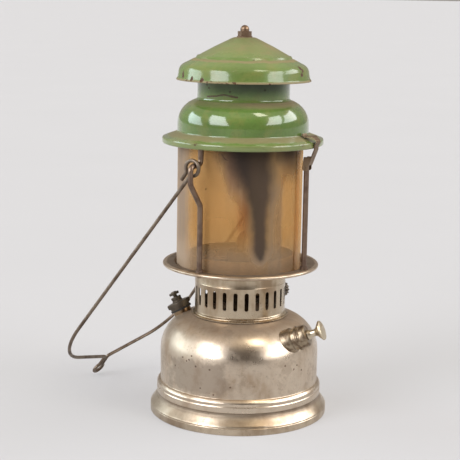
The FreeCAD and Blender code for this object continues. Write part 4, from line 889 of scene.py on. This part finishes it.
globe_low = 133.8
globe_height = 115.0
globe_radius = 56.3
globe_aside = -1.9
sheet_inset = 0.35
sheet_thickness = 0.22
sheet_start = -18
overlap_turn = 12
sheet_turn = 360 + overlap_turn
lift_turn = 350
lift_step = 0.5
ripple = 0.4
cleared()
bpy.ops.mesh.primitive_grid_add(x_subdivisions=280, y_subdivisions=46, size=1)
globe = bpy.context.object
globe.name = "mica_tube"
for point in globe.data.vertices:
    around = point.co.x + 0.5
    angle = math.radians(sheet_start - around * sheet_turn)
    layer = max(0.0, (around * sheet_turn - lift_turn) / (sheet_turn - lift_turn))
    wave_place = Vector((math.cos(angle) * 1.6, math.sin(angle) * 1.6, point.co.y * 1.4 + 3))
    wave = noise.noise(wave_place) * 0.5
    reach = (globe_radius - sheet_inset + layer * lift_step + wave * ripple) * MM
    point.co = (reach * math.cos(angle) + globe_aside * MM, reach * math.sin(angle),
                (globe_low + (point.co.y + 0.5) * globe_height) * MM)
picked(globe)
bpy.ops.object.mode_set(mode="EDIT")
bpy.ops.mesh.select_all(action="SELECT")
bpy.ops.mesh.normals_make_consistent(inside=False)
bpy.ops.object.mode_set(mode="OBJECT")
applied(globe, "SOLIDIFY", thickness=sheet_thickness * MM, offset=0)
smoothed(globe)
fitted(globe, mica("browned_mica"), "lantern", "mica", "globe")


# Uprights: four steel rods on shouldered feet. Two are bent out into ears for the bail, one is drilled
# for the hood clip's pin, and nuts under the plate hold them all.
def rusty_steel(name, light, dark, shift):
    """Nickelled steel that has rusted brown in patches, with small scabs."""
    metal = new_finish(name)
    rust = metal.grain(0.011, 5, rough=0.64, shift=shift).rise(0.4, 0.66)
    scabs = metal.grain(0.0018, 4, rough=0.7, shift=shift + 3).rise(0.6, 0.78)
    tone = metal.mix(rust, light, dark)
    tone = metal.mix(scabs * 0.5, tone, paint(66, 48, 38))
    relief = metal.bump(scabs, 0.0001, 0.6)
    relief = metal.bump(metal.grain(0.003, 3, shift=shift + 5), 0.00012, 0.35, relief)
    return metal.shade(Base_Color=tone, Metallic=0.95 - rust * 0.3 - scabs * 0.3,
                       Roughness=0.36 + rust * 0.16 + scabs * 0.15, Normal=relief)


rod_metal = rusty_steel("upright_steel", paint(128, 108, 92), paint(92, 72, 60), shift=1.0)
dressed(rod_metal, "ear_upright_front", "ear_upright_back", "clip_upright", "back_upright", "upright_nuts")
ring_metal = aged_nickel("ring_nickel", paint(158, 140, 118), paint(100, 80, 62),
                         stain_share=0.8, pit_share=0.6, shift=6.6)
dressed(ring_metal, "top_ring")


# Hood: spun steel, enamelled green, with a neck, a full bulge and a rim that is rolled over.
# Dust has dulled it in the corners, painted shade darkens and dulls its neck under the cap, and the enamel
# is chipped along its edges.
def enamel(name, dust_mask, chip_mask, heat_and_shade_mask, gloss, shift):
    """Green vitreous enamel. Masks say where dust lies, where it is chipped, and where heat on the cap and
    painted shade on the hood's neck darken and dull it.
    """
    glaze = new_finish(name)
    clouds = glaze.grain(0.05, 4, shift=shift)
    flecks = glaze.grain(0.0022, 5, rough=0.7, shift=shift + 2)
    tone = glaze.mix(clouds.rise(0.35, 0.7), paint(101, 128, 64), paint(88, 113, 52))
    olive = glaze.grain(0.018, 5, rough=0.62, shift=shift + 11).rise(0.46, 0.64)
    tone = glaze.mix(olive * 0.4, tone, paint(128, 126, 68))
    tone = glaze.mix(flecks.rise(0.5, 0.72) * 0.3, tone, paint(72, 92, 42))
    tone = glaze.mix((1 - flecks).rise(0.56, 0.74) * 0.3, tone, paint(136, 142, 92))
    film = glaze.grain(0.01, 5, rough=0.65, shift=shift + 5).rise(0.56, 0.8)
    dust = (dust_mask(glaze) + film * 0.25).least(1.0)
    tone = glaze.mix(dust, tone, paint(136, 121, 90))
    scratches = glaze.grain(0.0016, 3, stretch=(1, 1, 0.2), shift=shift + 8).rise(0.66, 0.7)
    tone = glaze.mix(scratches * 0.2, tone, paint(84, 72, 50))
    chips = chip_mask(glaze)
    tone = glaze.mix(chips, tone, glaze.mix(flecks, paint(38, 26, 20), paint(104, 66, 44)))
    # Scorching on the cap, and painted shade on the hood's neck, darken the green and dull the coat.
    heat_and_shade = heat_and_shade_mask(glaze)
    tone = glaze.mix(heat_and_shade, tone, paint(44, 58, 30))
    relief = glaze.bump(clouds, 0.0012, 0.22)
    relief = glaze.bump(glaze.grain(0.007, 3, shift=shift + 1), 0.00022, 0.3, relief)
    relief = glaze.bump(1 - chips, 0.0002, 0.8, relief)
    rough = (0.12 + flecks * 0.06 + dust * 0.5 + chips * 0.5).least(1.0)
    coat = (gloss - dust * 0.9 - heat_and_shade * 0.8 - chips).most(0.0)
    return glaze.shade(Base_Color=tone, Roughness=rough, Normal=relief, Specular_IOR_Level=0.35,
                       Coat_Weight=coat, Coat_Roughness=0.05)


def hood_dust(glaze):
    """Dust lies on the bulge and round the neck's foot, on the flat above the rim and under the rim."""
    angle, reach = glaze.turn()
    height = glaze.height()
    torn = glaze.grain(0.012, 5, rough=0.62) - 0.5
    ledge = 1 - (reach / MM + torn * 10).rise(43, 59)
    ledge = ledge * height.rise(279, 282) * (1 - height.rise(284, 286))
    ledge = ledge * (0.6 + angle.band(-40, 42, 24) * 0.35)
    neck_soil = (1 - (height + torn * 6).rise(287, 294)) * height.rise(285, 287) * 0.12
    flange = (height + torn * 3).band(254.9, 1.1, 1.8) * 0.75
    rim = (height + torn * 2).band(248.4, 2.6, 1.4) * 0.3
    return (ledge + neck_soil + flange + rim).least(1.0)


def hood_painted_shade(glaze):
    """Painted shade darkens and dulls the neck, most of all just under the cap where its shadow falls, and
    a band low on the bulge a little.
    """
    height = glaze.height()
    torn = (glaze.grain(0.015, 4) - 0.5) * 5
    angle, _ = glaze.turn()
    # Painted shadow of the cap: the neck is darkened, most at the front, and most of all just under the
    # cap.
    neck = (height + torn).rise(286, 296) * (0.3 + angle.band(-86, 34, 26) * 0.4)
    cap_shadow_mask = angle.band(-64, 24, 18) * (height + torn).rise(293, 303) * 0.3
    low_bulge = height.band(263, 4, 6) * 0.22
    return (neck + low_bulge + cap_shadow_mask).least(1.0)


def hood_chips(glaze):
    """Chips lie along the rim, at spots on the neck and along one crack across it."""
    angle, _ = glaze.turn()
    height = glaze.height()
    torn = glaze.grain(0.006, 5, rough=0.7, shift=7)
    rim_edge = height.band(250.4, 1.0, 0.8).most(height.band(246.4, 0.4, 0.6)) * torn.rise(0.6, 0.63)
    places = [(-137, 296.3), (-107, 294.1), (-64, 296.1), (-98, 289.6), (-141, 299.0)]
    spots = marked(glaze, places, size=1.1)
    crack_level = 291.3 - (-113 - angle).most(0.0) * 0.104 - (angle + 113).most(0.0) * 0.131
    crack = (height - crack_level + (torn - 0.5) * 3).band(0, 0.55, 0.4) * angle.band(-119, 20, 3)
    return rim_edge.most(spots).most(crack * 0.9)


hood = turned("hood_bell", walled([
    (41.1, 308.0),
    (41.1, 285.4, 2.5),
    (58.6, 278.0, 21.5),
    (58.6, 256.2, 2.2),
    (64.5, 253.9, 3.0),
    (71.6, 251.5, 1.2),
    (72.0, 250.2, 0.8),
    (72.0, 247.2, 0.7),
    (71.3, 246.3, 0.5),
    (70.3, 246.3),
], wall=0.8))
uneven(hood, depth=0.35 * MM, size=42 * MM, shift=3)
hood_finish = enamel("hood_enamel", hood_dust, hood_chips, hood_painted_shade, gloss=0.95, shift=0.0)
fitted(hood, hood_finish, "lantern", "green_enamel", "hood_body")


# Hood cap: a shallow spun cone in the same enamel that keeps rain off the neck. A riveted bridge of
# strip carries it on a stud, under a washer and an acorn nut.
def cap_dust(glaze):
    """Dust lies in the cap's groove, along its lip and thinly over its top, most of all at the sides."""
    angle, reach = glaze.turn()
    height = glaze.height()
    ragged = reach / MM + (glaze.grain(0.012, 5) - 0.5) * 5
    groove = ragged.band(45.4, 0.9, 2.2) * height.rise(316, 318)
    top = height.rise(323.6, 330) * (0.1 + angle.band(-50, 50, 30) * 0.2)
    middle = (1 - ragged.rise(7, 13)) * height.rise(335, 337)
    lip = height.band(302, 0.9, 1.4) * 0.8
    mottled = glaze.grain(0.014, 5, rough=0.64, shift=3).rise(0.46, 0.66) * height.rise(320, 327) * 0.3
    sides = (1 - angle.band(-90, 34, 26)) * height.rise(318, 325) * 0.22
    return (groove * 0.7 + top + mottled + sides + middle * 0.5 + lip + 0.12).least(1.0)


def cap_heat(glaze):
    """The cap's top is a little scorched round its middle."""
    _, reach = glaze.turn()
    return (1 - (reach / MM + (glaze.grain(0.01, 4) - 0.5) * 12).rise(9, 24)) * 0.3


def cap_chips(glaze):
    """Chips lie along the lip and at spots on the shoulder, where the steel shows brown."""
    height = glaze.height()
    torn = glaze.grain(0.007, 5, rough=0.7, shift=12)
    lip_edge = height.band(302.2, 1.2, 0.8) * torn.rise(0.57, 0.6)
    places = [(-156, 308.5), (-155, 306), (-140, 304.5), (-128, 304.2), (-30, 314.4), (-28, 312.6),
              (-31, 309), (-11, 303.6)]
    spots = marked(glaze, places, size=2.5)
    small_spots = glaze.specks(0.0011, 0.013, 9) * torn.rise(0.54, 0.56)
    return lip_edge.most(spots).most(small_spots)


hood_cap = turned("hood_lid", walled([
    (2.0, 339.4),
    (9.5, 339.4, 8.0),
    (26.0, 331.3, 60),
    (40.2, 323.5, 2.0),
    (41.4, 323.5, 0.9),
    (42.9, 321.0, 0.9),
    (44.6, 320.5, 2.5),
    (56.9, 314.3, 8.5),
    (58.6, 304.2, 1.2),
    (59.8, 302.3, 0.4),
    (59.5, 301.9),
], wall=0.8))
uneven(hood_cap, depth=0.3 * MM, size=36 * MM, shift=8)
cap_finish = enamel("cap_enamel", cap_dust, cap_chips, cap_heat, gloss=0.6, shift=4.0)
fitted(hood_cap, cap_finish, "lantern", "green_enamel", "hood_cap")
bridge_metal = rusty_steel("bridge_steel", paint(140, 124, 106), paint(88, 66, 50), shift=4.0)
dressed(bridge_metal, "cap_bridge")
nut_metal = rusty_steel("nut_steel", paint(138, 114, 92), paint(92, 70, 54), shift=7.0)
dressed(nut_metal, "acorn_nut", "cap_washer")


# Hood clip: a strip of sprung steel, folded into two cheeks that stand astride its upright's end. It
# turns on the pin through them, and its hook reaches over the hood's rim and holds it down.
clip_metal = rusty_steel("clip_steel", paint(132, 112, 90), paint(96, 76, 58), shift=2.0)
dressed(clip_metal, "hood_clip", "clip_pin")


# Bail: one length of steel wire that has rusted brown. It is bent into an eye in its middle, to hang the
# lantern by, and each end is closed into a ring round an ear.
bail_metal = rusty_steel("bail_steel", paint(126, 112, 98), paint(88, 73, 60), shift=6.0)
dressed(bail_metal, "bail")
